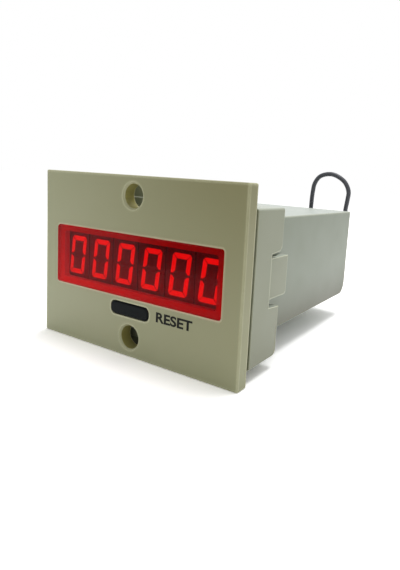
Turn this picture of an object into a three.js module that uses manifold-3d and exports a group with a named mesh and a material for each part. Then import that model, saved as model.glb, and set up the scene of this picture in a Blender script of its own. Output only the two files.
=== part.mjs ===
// A six-digit electronic counter for a panel, built as separate pieces, in millimetres.
//
// The pieces are drawn in the counter's own frame: x to the right, y rearward from the bezel's
// front face, z up from the bezel's centre. The last lines set the finished group down on its
// lowest edge, with its origin under the middle of its box.

import * as THREE from 'three';
import { mergeVertices } from 'three/addons/utils/BufferGeometryUtils.js';
import Module from 'manifold-3d';

const wasm = await Module();
wasm.setup();

// Fits and overruns that many pieces share
const fitGap = 0.3;
const cutOverrun = 1;
const quarterTurn = Math.PI / 2;
const cornerSteps = 4;
const roundSteps = 24;
const coarseSteps = 12;

// Bezel: the moulded front plate
const bezelWidth = 72;
const bezelHeight = 50;
const bezelThickness = 3.9;
const bezelCornerRadius = 0.5;
const bezelFillet = 0.4;
const screwHoleDiameter = 6.6;
const screwHoleSpacing = 39;
const screwHoleChamfer = 0.5;

// Window: a red lens that stands a little proud, on a deep ledge, with the digits close behind
const windowBorder = 0.5;
const windowHeight = 17.25;
const windowRise = 0.33;
const windowCornerRadius = 0.8;
const windowFit = 0.15;
const lensProud = 0.5;
const lensThickness = 1.35;
const ledgeSideWidth = 1.9;
const ledgeWidth = 1.65;
const ledgeThickness = 1.7;

// Digits: six seven-segment modules side by side
const digitCount = 6;
const digitSideRoom = 0.4;
const shellHeight = 15;
const shellDepth = 8;
const shellFace = 1;
const shellWall = 0.8;
const digitRise = 0.05;
const digitHeight = 11.6;
const digitWidthShare = 0.65;
const digitSlantShare = 0.115;
const digitCornerRadius = 1.1;
const segmentWidth = 1.5;
const segmentSpace = 0.08;
const segmentMidSpace = 0.3;
const segmentFit = 0.08;
const pointDiameter = 1.4;

// Reset button and the switch behind it
const buttonWidth = 13.8;
const buttonHeight = 3.4;
const buttonDrop = 11.8;
const buttonProud = 0.3;
const buttonTravel = 1;
const buttonCrown = 0.4;
const buttonEndFlat = 0.7;
const earReach = 1.8;
const earThickness = 0.9;
const switchWidth = 6;
const switchHeight = 3.5;
const switchDepth = 3.4;
const switchStemWidth = 3;
const switchStemHeight = 1.5;

// Housing: the deep box behind the bezel
const housingWidth = 63;
const housingHeight = 32.65;
const housingLength = 82;
const housingWall = 1.6;
const housingFloorWall = 2.05;
const rimRecess = 0.5;
const housingCornerRadius = 0.5;
const housingHeelRadius = 5;
const guideRibWidth = 1.6;
const guideRibHeight = 1;

// Rails and hooks of the bezel that the housing snaps over
const railThickness = 1.3;
const railLength = 5;
const railInset = 3.9;
const railBreakShare = 0.5;
const hookWidth = 7;
const hookLength = 2;
const hookRise = 1.2;
const hookSpacingShare = 0.75;

// Mounting collar: the clamp frame behind the panel
const panelGap = 2.2;
const collarSideWall = 3.5;
const collarRoofWall = 2.4;
const collarDepth = 14.1;
const collarDrop = 1.35;
const collarCornerRadius = 0.7;
const collarFillet = 0.3;
const collarHeelRadius = 2.6;
const notchLength = 5.8;
const notchHeight = 14.3;
const notchRise = 1.3;
const notchChamfer = 1.3;
const notchFlare = 0.5;
const pawlHeight = 11.1;
const pawlLength = 12.4;
const pawlThickness = 1.5;
const pawlStep = 1.3;
const pawlPadLength = 2.4;
const pawlHeelRadius = 1.5;
const lugWidth = 16;
const lugRadius = 3.8;
const lugSetback = 0.8;
const collarScrewDiameter = 3.4;

// Circuit boards
const boardThickness = 1.6;
const mainBoardRise = 5.5;
const headerWidth = 24;
const headerHeight = 2.5;
const headerDepth = 5;

// Terminal block in the rear wall
const terminalCount = 6;
const barrierThickness = 1.2;
const bayDepth = 5.8;
const blockHeight = 12;
const blockDepth = 12.6;
const blockEdge = 1.4;
const blockInset = 0.3;
const blockSideRoom = 3.1;
const blockLeadRoom = 12.3;
const clampThickness = 0.8;
const clampFit = 0.35;
const screwHeadShare = 0.78;
const screwHeadHeight = 1.9;
const screwShankShare = 0.55;
const screwShankLength = 5;
const screwSlotWidth = 0.8;
const screwSlotDepth = 0.9;
const screwClearance = 0.3;

// Parts on the main board
const coreWidth = 24;
const coreHeight = 18;
const coreDepth = 12;
const coreLegWidth = 7;
const coreYoke = 3.5;
const windingDepth = 20;
const reservoirDiameter = 10;
const reservoirHeight = 16;
const outputDiameter = 8;
const outputHeight = 12;
const capGroove = 0.35;
const cellDiameter = 11;
const cellLength = 15;
const rectifierDiameter = 9;
const rectifierHeight = 5.5;
const chipLength = 24;
const chipWidth = 6.4;
const chipHeight = 3.4;
const chipNotchRadius = 1;
const isolatorLength = 4.6;
const isolatorSpacing = 9;
const crystalLength = 10.5;
const crystalWidth = 4;
const crystalHeight = 3.5;
const regulatorWidth = 10;
const regulatorHeight = 8.6;
const regulatorDepth = 4.4;
const tabHeight = 6.2;
const tabThickness = 1.3;
const tabHoleDiameter = 3.6;

// Lead: a thin two-core lead out of the rear wall
const leadDiameter = 1.9;
const leadFit = 0.3;
const leadSides = 8;
const glandHoleDiameter = 5.8;
const glandFlangeDiameter = 8;
const glandFlangeThickness = 1.2;
const glandMouthDiameter = 3.4;
const glandLength = 4.1;
const glandInset = 4.4;
const glandRise = 4;
const coilRadius = 12.5;
const coilTurnsPerLayer = 2.75;
const coilLayers = 4;
const tailTurns = 0.5;
const tailRadius = 11.5;
const tailStartShare = 0.2;
const coilSpacing = 2.66;
const coilRightward = -10;
const coilRearward = 114;
const coilSides = 6;
const coilStepsPerTurn = 24;
const climbTurns = 0.5;
const tieThickness = 0.5;
const tieWidth = 3;
const tieAngle = -0.35;
const sleeveLength = 5;
const sleeveDiameter = 2.6;
const coreDiameter = 1;
const coreSpacing = 1.2;
const coreLength = 8;
const coreSplayAngle = 0.08;

// Places worked out from the sizes above
const housingFront = bezelThickness - rimRecess + fitGap;
const housingBack = bezelThickness + housingLength;
const housingInnerWidth = housingWidth - 2 * housingWall;
const housingInnerHeight = housingHeight - housingWall - housingFloorWall;
const housingSink = (housingFloorWall - housingWall) / 2;
const housingInnerBack = housingBack - housingWall;
const digitPitch = (housingInnerWidth - 2 * digitSideRoom) / digitCount;
const digitWidth = digitWidthShare * digitPitch;
const windowWidth = digitCount * digitPitch + 2 * windowBorder;
const railWidth = housingInnerWidth - 2 * railInset;
const hookSpacing = hookSpacingShare * railWidth;
const seatDepth = lensThickness - lensProud + windowFit;
const ledgeBack = seatDepth + ledgeThickness;
const shellFront = ledgeBack + fitGap;
const shellBack = shellFront + shellDepth;
const displayBoardFront = shellBack + fitGap;
const displayBoardBack = displayBoardFront + boardThickness;
const mainBoardTop = mainBoardRise + boardThickness - housingInnerHeight / 2;
const mainBoardFront = displayBoardBack + fitGap;
const mainBoardBack = housingInnerBack - fitGap;
const partsFloor = mainBoardTop + fitGap;
const collarFront = bezelThickness + panelGap;
const collarBack = collarFront + collarDepth;
const collarInnerWidth = housingWidth + 2 * fitGap;
const collarInnerHeight = housingHeight + 2 * fitGap + 2 * collarDrop;
const collarWidth = collarInnerWidth + 2 * collarSideWall;
const collarHeight = collarInnerHeight + 2 * collarRoofWall;
const blockBack = housingBack - blockInset;
const blockFront = blockBack - blockDepth;
const blockWidth = housingInnerWidth - blockSideRoom - blockLeadRoom;
const blockLeft = blockSideRoom - housingInnerWidth / 2;
const terminalPitch = (blockWidth - barrierThickness) / terminalCount;
const blockFloor = partsFloor;
const blockMiddle = blockFloor + blockHeight / 2;
const glandShift = housingInnerWidth / 2 - glandInset;
const glandMouth = housingBack + glandFlangeThickness + glandLength;
const coilStart = coilRadius + coilTurnsPerLayer * coilSpacing / 2;
const floorLevel = -bezelHeight / 2;

// Finishes
const finish = (colour, roughness, metalness = 0) =>
  new THREE.MeshStandardMaterial({ color: colour, roughness, metalness });
const ivory = () => finish(0xb9b99a, 0.5);
const redLens = () => finish(0xb0101c, 0.15);
const darkFace = () => finish(0x2a1a1c, 0.6);
const litRed = () => finish(0xff2a1c, 0.4);
const blackPlastic = () => finish(0x17191b, 0.45);
const boardGreen = () => finish(0x1f5a35, 0.5);
const steel = () => finish(0xb8bab8, 0.35, 0.9);
const tinned = () => finish(0xc8c8c2, 0.3, 0.9);
const copper = () => finish(0xb06a3a, 0.45, 0.6);
const darkLead = () => finish(0x34363a, 0.55);
const blueSleeve = () => finish(0x24406e, 0.4);

// A closed geometry as a solid that can be cut and joined.
function solidOf(geometry) {
  const bare = geometry.index ? geometry.toNonIndexed() : geometry.clone();
  bare.deleteAttribute('normal');
  bare.deleteAttribute('uv');
  const merged = mergeVertices(bare, 1e-4);
  const mesh = new wasm.Mesh({
    numProp: 3,
    vertProperties: merged.attributes.position.array,
    triVerts: new Uint32Array(merged.index.array),
  });
  return new wasm.Manifold(mesh);
}

// A solid, or a plain geometry, as a named mesh with its own material.
function piece(name, shape, material) {
  let geometry = shape;
  if (!shape.isBufferGeometry) {
    const cut = shape.getMesh();
    geometry = new THREE.BufferGeometry();
    geometry.setAttribute('position', new THREE.Float32BufferAttribute(cut.vertProperties, 3));
    geometry.setIndex(new THREE.Uint32BufferAttribute(cut.triVerts, 1));
  }
  geometry.computeVertexNormals();
  const mesh = new THREE.Mesh(geometry, material);
  mesh.name = name;
  return mesh;
}

// A rectangle with rounded corners, centred on the origin, as a list of points.
function roundedPoints(width, height, radius, steps = cornerSteps) {
  const points = [];
  for (let corner = 0; corner < 4; corner += 1) {
    const right = corner === 0 || corner === 3 ? 1 : -1;
    const up = corner < 2 ? 1 : -1;
    for (let step = 0; step <= steps; step += 1) {
      const angle = (corner + step / steps) * quarterTurn;
      const x = right * (width / 2 - radius) + radius * Math.cos(angle);
      const y = up * (height / 2 - radius) + radius * Math.sin(angle);
      points.push(new THREE.Vector2(x, y));
    }
  }
  return points;
}

// A plain rectangle between two corners.
function rectangle(left, bottom, right, top) {
  const corners = [[left, bottom], [right, bottom], [right, top], [left, top]];
  return corners.map(([x, y]) => new THREE.Vector2(x, y));
}

// An outline in x and z, pushed rearward from one y to another.
function rearward(points, from, to) {
  const depth = to - from;
  const shape = new THREE.Shape(points);
  const geometry = new THREE.ExtrudeGeometry(shape, { depth, bevelEnabled: false });
  geometry.rotateX(quarterTurn);
  geometry.translate(0, to, 0);
  return geometry;
}

// An outline in y and z, pushed sideways between two values of x.
function sideways(points, from, to) {
  const shape = new THREE.Shape(points);
  const geometry = new THREE.ExtrudeGeometry(shape, { depth: to - from, bevelEnabled: false });
  const turn = new THREE.Matrix4();
  const across = new THREE.Vector3(1, 0, 0);
  const back = new THREE.Vector3(0, 1, 0);
  const up = new THREE.Vector3(0, 0, 1);
  turn.makeBasis(back, up, across);
  geometry.applyMatrix4(turn);
  geometry.translate(from, 0, 0);
  return geometry;
}

// An outline in x and y, raised from one z to another.
function upward(points, from, to) {
  const shape = new THREE.Shape(points);
  const geometry = new THREE.ExtrudeGeometry(shape, { depth: to - from, bevelEnabled: false });
  geometry.translate(0, 0, from);
  return geometry;
}

// A box between two corners.
function box(low, high) {
  const size = high.map((value, axis) => value - low[axis]);
  const middle = high.map((value, axis) => (value + low[axis]) / 2);
  const geometry = new THREE.BoxGeometry(...size);
  geometry.translate(...middle);
  return geometry;
}

// A round bar along y, centred at x and z.
function barAlongY(diameter, from, to, x, z, steps = roundSteps) {
  const geometry = new THREE.CylinderGeometry(diameter / 2, diameter / 2, to - from, steps);
  geometry.translate(x, (from + to) / 2, z);
  return geometry;
}

// A profile of radius and height pairs, turned about an upright axis.
function turnedUpright(profile, steps = roundSteps) {
  const points = profile.map(([radius, height]) => new THREE.Vector2(radius, height));
  const geometry = new THREE.LatheGeometry(points, steps);
  geometry.rotateX(quarterTurn);
  return geometry;
}

// A profile of radius and length pairs, turned about an axis along y.
function turnedAlongY(profile, x, z, steps = roundSteps) {
  const points = profile.map(([radius, length]) => new THREE.Vector2(radius, length));
  const geometry = new THREE.LatheGeometry(points, steps);
  geometry.translate(x, 0, z);
  return geometry;
}

// Rings of points, front to back, joined into one closed skin. Each ring is a list of x and z
// pairs at one y, anticlockwise as seen from the front.
function loftRearward(rings) {
  const count = rings[0].points.length;
  const positions = rings.flatMap(({ points, y }) => points.flatMap((p) => [p.x, y, p.y]));
  const index = [];
  for (let ring = 0; ring + 1 < rings.length; ring += 1) {
    for (let i = 0; i < count; i += 1) {
      const next = (i + 1) % count;
      const a = ring * count + i;
      const b = ring * count + next;
      index.push(a, a + count, b + count, a, b + count, b);
    }
  }
  const last = (rings.length - 1) * count;
  for (let i = 1; i + 1 < count; i += 1) {
    index.push(0, i, i + 1);
    index.push(last, last + i + 1, last + i);
  }
  const geometry = new THREE.BufferGeometry();
  geometry.setAttribute('position', new THREE.Float32BufferAttribute(positions, 3));
  geometry.setIndex(index);
  return geometry;
}

// A plate or bar of rounded outline whose front edge, and back edge if asked, has a fillet.
function filletedBlock(width, height, radius, from, to, frontFillet, backFillet = 0) {
  const filletSteps = 3;
  const rings = [];
  for (let step = 0; step <= filletSteps; step += 1) {
    const angle = step / filletSteps * quarterTurn;
    const inset = frontFillet * (1 - Math.sin(angle));
    const y = from + frontFillet * (1 - Math.cos(angle));
    rings.push({ points: roundedPoints(width - 2 * inset, height - 2 * inset, radius - inset), y });
  }
  const backSteps = backFillet > 0 ? filletSteps : 0;
  for (let step = 0; step <= backSteps; step += 1) {
    const angle = backSteps > 0 ? step / backSteps * quarterTurn : 0;
    const inset = backFillet * (1 - Math.cos(angle));
    const y = to - backFillet * (1 - Math.sin(angle));
    rings.push({ points: roundedPoints(width - 2 * inset, height - 2 * inset, radius - inset), y });
  }
  return loftRearward(rings);
}

// The side profile of a box in y and z whose lower rear corner is an arc.
function heeledProfile(front, back, bottom, top, heel) {
  const steps = 6;
  const points = [new THREE.Vector2(front, top), new THREE.Vector2(front, bottom)];
  for (let step = 0; step <= steps; step += 1) {
    const angle = (step / steps - 1) * quarterTurn;
    const y = back - heel + heel * Math.cos(angle);
    const z = bottom + heel + heel * Math.sin(angle);
    points.push(new THREE.Vector2(y, z));
  }
  points.push(new THREE.Vector2(back, top));
  return points;
}

// Moves an outline by x and y.
const shifted = (points, x, y) => points.map((p) => new THREE.Vector2(p.x + x, p.y + y));

// Bezel

// One hook on the outer face of a rail, a wedge that leans back towards the bezel.
function bezelHook(x, side) {
  const face = side * (housingInnerHeight / 2 - fitGap);
  const tip = face + side * hookRise;
  const root = face - side * railThickness / 2;
  const back = bezelThickness + railLength;
  const profile = [[back - hookLength, root], [back, root], [back, face], [back - hookLength, tip]];
  const points = profile.map(([y, z]) => new THREE.Vector2(y, z));
  return sideways(points, x - hookWidth / 2, x + hookWidth / 2);
}

// A rail that enters the housing above or below the digits.
function bezelRail(left, right, side) {
  const outer = side * (housingInnerHeight / 2 - fitGap);
  const inner = outer - side * railThickness;
  const low = Math.min(inner, outer);
  const high = Math.max(inner, outer);
  const front = ledgeBack;
  return box([left, front, low], [right, bezelThickness + railLength, high]);
}

function makeBezel() {
  let bezel = solidOf(
    filletedBlock(bezelWidth, bezelHeight, bezelCornerRadius, 0, bezelThickness, bezelFillet),
  );
  const railHalf = railWidth / 2;
  const breakHalf = railBreakShare * railHalf;
  const rails = [[-railHalf, railHalf, 1], [-railHalf, -breakHalf, -1], [breakHalf, railHalf, -1]];
  for (const [left, right, side] of rails) {
    bezel = bezel.add(solidOf(bezelRail(left, right, side)));
  }
  for (const side of [-1, 1]) {
    for (const end of [-1, 1]) {
      bezel = bezel.add(solidOf(bezelHook(end * hookSpacing / 2, side)));
    }
  }

  // The lens seat, the aperture through its ledge and the pocket for the digits behind it
  const seat = roundedPoints(
    windowWidth + 2 * windowFit,
    windowHeight + 2 * windowFit,
    windowCornerRadius,
  );
  const aperture = roundedPoints(
    windowWidth - 2 * ledgeSideWidth,
    windowHeight - 2 * ledgeWidth,
    windowCornerRadius,
  );
  const pocketWidth = digitCount * digitPitch + fitGap;
  const pocket = roundedPoints(pocketWidth, shellHeight + 2 * fitGap, fitGap);
  const throughBack = bezelThickness + cutOverrun;
  const cuts = [
    rearward(shifted(seat, 0, windowRise), -cutOverrun, seatDepth),
    rearward(shifted(aperture, 0, windowRise), -cutOverrun, throughBack),
    rearward(shifted(pocket, 0, digitRise), ledgeBack, throughBack),
  ];

  // The shallow recess round the rails, where the housing's rim sits
  const rim = roundedPoints(
    housingWidth + 2 * fitGap,
    housingHeight + 2 * fitGap,
    housingCornerRadius,
  );
  const rimFront = bezelThickness - rimRecess;
  const rimOuter = solidOf(rearward(shifted(rim, 0, -housingSink), rimFront, throughBack));
  const rimInner = solidOf(
    rearward(
      roundedPoints(housingInnerWidth - 2 * fitGap, housingInnerHeight - 2 * fitGap, fitGap),
      rimFront - cutOverrun,
      throughBack + cutOverrun,
    ),
  );
  bezel = bezel.subtract(rimOuter.subtract(rimInner));

  // The button slot and the two screw holes with their chamfered mouths
  const slotHeight = buttonHeight + 2 * fitGap;
  const slotEnd = (slotHeight - buttonEndFlat) / 2;
  const slot = roundedPoints(buttonWidth + 2 * fitGap, slotHeight, slotEnd);
  cuts.push(rearward(shifted(slot, 0, -buttonDrop), -cutOverrun, throughBack));
  const radius = screwHoleDiameter / 2;
  const mouth = radius + screwHoleChamfer;
  for (const side of [-1, 1]) {
    const z = side * screwHoleSpacing / 2;
    cuts.push(barAlongY(screwHoleDiameter, -cutOverrun, throughBack, 0, z));
    const cone = [
      [0, -cutOverrun],
      [mouth + cutOverrun, -cutOverrun],
      [radius, screwHoleChamfer],
      [0, screwHoleChamfer],
    ];
    cuts.push(turnedAlongY(cone, 0, z));
  }
  for (const cut of cuts) {
    bezel = bezel.subtract(solidOf(cut));
  }
  return piece('front_bezel', bezel, ivory());
}

function makeLens() {
  const outline = shifted(roundedPoints(windowWidth, windowHeight, windowCornerRadius), 0, windowRise);
  const back = lensThickness - lensProud;
  return piece('window_lens', rearward(outline, -lensProud, back), redLens());
}

// Digits

// Part of the round upper left corner of a digit, between two angles in quarter turns.
function digitCorner(from, to) {
  const steps = 2;
  const points = [];
  for (let step = 0; step <= steps; step += 1) {
    const angle = (from + (step / steps) * (to - from)) * quarterTurn;
    const u = digitCornerRadius * (1 + Math.cos(angle)) - digitWidth / 2;
    const v = digitCornerRadius * (Math.sin(angle) - 1) + digitHeight / 2;
    points.push([u, v]);
  }
  return points;
}

// The outlines of the seven segments, upright, about the digit's centre. Neighbours meet in a
// mitre, whose narrow gap leaves a small angle free in the middle of each round corner. The
// gaps at mid-height are wider.
function segmentOutlines() {
  const half = digitWidth / 2;
  const top = digitHeight / 2;
  const w = segmentWidth;
  const s = segmentSpace;
  const m = segmentMidSpace;
  const mitre = 3 / 2;
  const free = Math.asin(s / digitCornerRadius / Math.SQRT2) / quarterTurn;
  const leftEnd = digitCorner(mitre - free, 1);
  const rightEnd = leftEnd.map(([u, v]) => [-u, v]).reverse();
  const bar = [...leftEnd, ...rightEnd, [half - w - s, top - w], [w + s - half, top - w]];
  const upright = [
    ...digitCorner(mitre + free, 2),
    [-half, m],
    [w / 2 - half, m],
    [w - half, w / 2 + m],
    [w - half, top - w - s],
  ];
  const middle = [
    [w / 2 + m - half, 0],
    [w + m - half, -w / 2],
    [half - w - m, -w / 2],
    [half - w / 2 - m, 0],
    [half - w - m, w / 2],
    [w + m - half, w / 2],
  ];
  const flip = (points, x, y) => points.map(([u, v]) => [u * x, v * y]);
  return [
    bar,
    flip(bar, 1, -1),
    upright,
    flip(upright, -1, 1),
    flip(upright, 1, -1),
    flip(upright, -1, -1),
    middle,
  ];
}

// Leans an upright outline to the right and sets it at a digit's place.
function leaned(points, x) {
  const line = points.map(([u, v]) => new THREE.Vector2(x + u + v * digitSlantShare, v + digitRise));
  return THREE.ShapeUtils.area(line) > 0 ? line : line.reverse();
}

// Grows or shrinks an outline about its middle by about the given amount on each side.
function grown(points, amount) {
  const xs = points.map(([u]) => u);
  const ys = points.map(([, v]) => v);
  const width = Math.max(...xs) - Math.min(...xs);
  const height = Math.max(...ys) - Math.min(...ys);
  const u0 = (Math.max(...xs) + Math.min(...xs)) / 2;
  const v0 = (Math.max(...ys) + Math.min(...ys)) / 2;
  const growX = (width + 2 * amount) / width;
  const growY = (height + 2 * amount) / height;
  return points.map(([u, v]) => [u0 + (u - u0) * growX, v0 + (v - v0) * growY]);
}

const pointAcross = digitWidth / 2 + segmentWidth / 2;
const pointDown = pointDiameter / 2 - digitHeight / 2;

// The body of a digit: a cap, open at the back, with a window for each segment.
function makeDigitShell(number, x) {
  const half = (digitPitch - fitGap) / 2;
  const low = digitRise - shellHeight / 2;
  const high = digitRise + shellHeight / 2;
  let shell = solidOf(box([x - half, shellFront, low], [x + half, shellBack, high]));
  const hollow = box(
    [x - half + shellWall, shellFront + shellFace, low + shellWall],
    [x + half - shellWall, shellBack + cutOverrun, high - shellWall],
  );
  shell = shell.subtract(solidOf(hollow));
  const front = shellFront - cutOverrun;
  const back = shellFront + shellFace + cutOverrun;
  for (const outline of segmentOutlines()) {
    shell = shell.subtract(solidOf(rearward(leaned(outline, x), front, back)));
  }
  const pointX = x + pointAcross + pointDown * digitSlantShare;
  const pointZ = pointDown + digitRise;
  const hole = barAlongY(pointDiameter, front, back, pointX, pointZ, coarseSteps);
  shell = shell.subtract(solidOf(hole));
  return piece(`digit_${number}_shell`, shell, darkFace());
}

// The cast resin of a digit: a slab inside the shell with a raised pillar for each segment.
function makeDigitLight(number, x) {
  const half = (digitPitch - fitGap) / 2 - shellWall - segmentFit;
  const reach = shellHeight / 2 - shellWall - segmentFit;
  const slabFront = shellFront + shellFace + segmentFit;
  let light = solidOf(
    box([x - half, slabFront, digitRise - reach], [x + half, shellBack, digitRise + reach]),
  );
  const tip = shellFront + segmentFit;
  for (const outline of segmentOutlines()) {
    const pillar = leaned(grown(outline, -segmentFit), x);
    light = light.add(solidOf(rearward(pillar, tip, slabFront + segmentFit)));
  }
  const pointX = x + pointAcross + pointDown * digitSlantShare;
  const pointZ = pointDown + digitRise;
  const wide = pointDiameter - 2 * segmentFit;
  const point = barAlongY(wide, tip, slabFront + segmentFit, pointX, pointZ, coarseSteps);
  light = light.add(solidOf(point));
  return piece(`digit_${number}_light`, light, litRed());
}

function makeDigits() {
  const pieces = [];
  for (let number = 1; number <= digitCount; number += 1) {
    const x = (number - (digitCount + 1) / 2) * digitPitch;
    pieces.push(makeDigitShell(number, x), makeDigitLight(number, x));
  }
  return pieces;
}

// Reset button and switch

const buttonEarFront = bezelThickness + fitGap;
const buttonEarBack = buttonEarFront + earThickness;
const switchFront = displayBoardFront - fitGap - switchDepth;
const stemFront = buttonEarBack + fitGap;

function makeButton() {
  const end = (buttonHeight - buttonEndFlat) / 2;
  const cap = solidOf(
    filletedBlock(buttonWidth, buttonHeight, end, -buttonProud, buttonEarBack, buttonCrown),
  );
  const reach = buttonWidth / 2 + earReach;
  const ears = solidOf(
    box([-reach, buttonEarFront, -buttonHeight / 2], [reach, buttonEarBack, buttonHeight / 2]),
  );
  const button = piece('reset_button', cap.add(ears), blackPlastic());
  button.position.z = -buttonDrop;
  return button;
}

function makeSwitch() {
  const low = -buttonDrop - switchHeight / 2;
  const body = solidOf(
    box(
      [-switchWidth / 2, switchFront, low],
      [switchWidth / 2, switchFront + switchDepth, low + switchHeight],
    ),
  );
  const boreWidth = switchStemWidth + 2 * fitGap;
  const boreHeight = switchStemHeight + 2 * fitGap;
  const stemInside = switchFront + fitGap;
  const boreBack = stemInside + buttonTravel + fitGap;
  const bore = box(
    [-boreWidth / 2, switchFront - cutOverrun, -buttonDrop - boreHeight / 2],
    [boreWidth / 2, boreBack, boreHeight / 2 - buttonDrop],
  );
  const stem = box(
    [-switchStemWidth / 2, stemFront, -buttonDrop - switchStemHeight / 2],
    [switchStemWidth / 2, stemInside, switchStemHeight / 2 - buttonDrop],
  );
  return [
    piece('switch_body', body.subtract(solidOf(bore)), blackPlastic()),
    piece('switch_stem', stem, finish(0xd8d4c4, 0.5)),
  ];
}

// Housing

function makeHousing() {
  const half = housingWidth / 2;
  const top = housingInnerHeight / 2 + housingWall;
  const bottom = top - housingHeight;
  const outline = roundedPoints(housingWidth, housingHeight, housingCornerRadius);
  const side = heeledProfile(housingFront, housingBack, bottom, top, housingHeelRadius);
  const sunk = shifted(outline, 0, -housingSink);
  let housing = solidOf(rearward(sunk, housingFront, housingBack));
  housing = housing.intersect(
    solidOf(sideways(side, -half - cutOverrun, half + cutOverrun)),
  );

  // The hollow, which keeps the wall all round and is open at the front
  const innerFront = housingFront - cutOverrun;
  const innerTop = housingInnerHeight / 2;
  const innerHeel = housingHeelRadius - housingWall;
  const hollowSide = heeledProfile(innerFront, housingInnerBack, -innerTop, innerTop, innerHeel);
  let hollow = solidOf(sideways(hollowSide, -housingInnerWidth / 2, housingInnerWidth / 2));

  // Guide ribs stand inside the hollow, above and below the main board's edges
  const ribFront = displayBoardBack + fitGap;
  const ribInner = housingInnerWidth / 2 - guideRibWidth;
  const ribOuter = housingInnerWidth / 2 + cutOverrun;
  const boardBottom = mainBoardTop - boardThickness;
  const levels = [mainBoardTop + fitGap, boardBottom - fitGap - guideRibHeight];
  for (const end of [-1, 1]) {
    for (const level of levels) {
      const left = Math.min(end * ribInner, end * ribOuter);
      const right = Math.max(end * ribInner, end * ribOuter);
      const rib = box([left, ribFront, level], [right, blockFront - fitGap, level + guideRibHeight]);
      hollow = hollow.subtract(solidOf(rib));
    }
  }
  housing = housing.subtract(hollow);

  // Slots for the bezel's hooks in the top and bottom walls
  for (const end of [-1, 1]) {
    const x = end * hookSpacing / 2;
    const slotHalf = hookWidth / 2 + fitGap;
    const back = bezelThickness + railLength + fitGap;
    const front = back - hookLength - 2 * fitGap;
    const low = bottom - cutOverrun;
    const slot = box([x - slotHalf, front, low], [x + slotHalf, back, top + cutOverrun]);
    housing = housing.subtract(solidOf(slot));
  }

  // The terminal block's window and the lead's hole in the rear wall
  const rearCut = housingBack + cutOverrun;
  const terminalWindow = box(
    [blockLeft - fitGap, housingInnerBack - cutOverrun, blockFloor - fitGap],
    [blockLeft + blockWidth + fitGap, rearCut, blockFloor + blockHeight + fitGap],
  );
  const innerCut = housingInnerBack - cutOverrun;
  const leadHole = barAlongY(glandHoleDiameter, innerCut, rearCut, glandShift, glandRise);
  housing = housing.subtract(solidOf(terminalWindow)).subtract(solidOf(leadHole));
  return piece('housing', housing, ivory());
}

// Mounting collar

// One plate that stands out above and below as the two lugs for the panel screws.
function collarLugs() {
  const reach = screwHoleSpacing + 2 * lugRadius;
  const outline = roundedPoints(lugWidth, reach, lugRadius);
  return rearward(outline, collarFront + lugSetback, collarBack - collarFillet);
}

function makeCollar() {
  const half = collarWidth / 2;
  const high = collarHeight / 2;
  let collar = solidOf(
    filletedBlock(
      collarWidth,
      collarHeight,
      collarCornerRadius,
      collarFront,
      collarBack,
      collarFillet,
      collarFillet,
    ),
  );
  const side = heeledProfile(
    collarFront - cutOverrun,
    collarBack,
    -high,
    high + cutOverrun,
    collarHeelRadius,
  );
  collar = collar.intersect(solidOf(sideways(side, -half - cutOverrun, half + cutOverrun)));
  collar = collar.add(solidOf(collarLugs()));
  const bore = roundedPoints(collarInnerWidth, collarInnerHeight, housingCornerRadius);
  const boreFront = collarFront - cutOverrun;
  const boreBack = collarBack + cutOverrun;
  collar = collar.subtract(solidOf(rearward(bore, boreFront, boreBack)));
  for (const end of [-1, 1]) {
    const z = end * screwHoleSpacing / 2;
    const hole = barAlongY(collarScrewDiameter, boreFront, boreBack, 0, z);
    collar = collar.subtract(solidOf(hole));
  }
  for (const end of [-1, 1]) {
    collar = collar.subtract(solidOf(pawlNotch(end)));
    collar = collar.add(pawl(end));
  }
  const mesh = piece('mounting_collar', collar, ivory());
  mesh.position.z = -collarDrop;
  return mesh;
}

// The notch in one side wall of the collar, open to the rear. It widens a little towards the
// rear, and its upper mouth slopes.
function pawlNotch(end) {
  const root = collarBack - notchLength;
  const low = notchRise - notchHeight / 2;
  const high = notchRise + notchHeight / 2;
  const back = collarBack + cutOverrun;
  const mouth = collarBack - notchChamfer;
  const widened = (y) => (notchFlare * (y - root)) / notchLength;
  const outline = [
    [root, low],
    [back, low - widened(back)],
    [back, high + widened(mouth) + back - mouth],
    [mouth, high + widened(mouth)],
    [root, high],
  ];
  const points = outline.map(([y, z]) => new THREE.Vector2(y, z));
  const outer = end * (collarWidth / 2 + cutOverrun);
  const inner = end * (collarInnerWidth / 2 - cutOverrun);
  return sideways(points, Math.min(inner, outer), Math.max(inner, outer));
}

// The spring pawl in the notch: a strip rooted in the collar, with a pad towards the housing.
function pawl(end) {
  const outer = collarWidth / 2 - pawlStep;
  const inner = outer - pawlThickness;
  const pad = collarInnerWidth / 2;
  const rootFront = collarBack - notchLength - pawlThickness;
  const tip = collarBack - notchLength + pawlLength;
  const padFront = tip - pawlPadLength;
  const outline = [
    [outer, rootFront],
    [outer, tip - collarFillet],
    [outer - collarFillet, tip],
    [pad, tip],
    [pad, padFront],
    [inner, padFront - pawlPadLength],
    [inner, rootFront],
  ];
  const points = outline.map(([x, y]) => new THREE.Vector2(end * x, y));
  const low = notchRise - pawlHeight / 2;
  const high = low + pawlHeight;
  const strip = solidOf(upward(points, low, high));
  const side = heeledProfile(rootFront, tip, low, high, pawlHeelRadius);
  const left = Math.min(end * pad, end * outer);
  return strip.intersect(solidOf(sideways(side, left, left + outer - pad)));
}

// Boards

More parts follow.
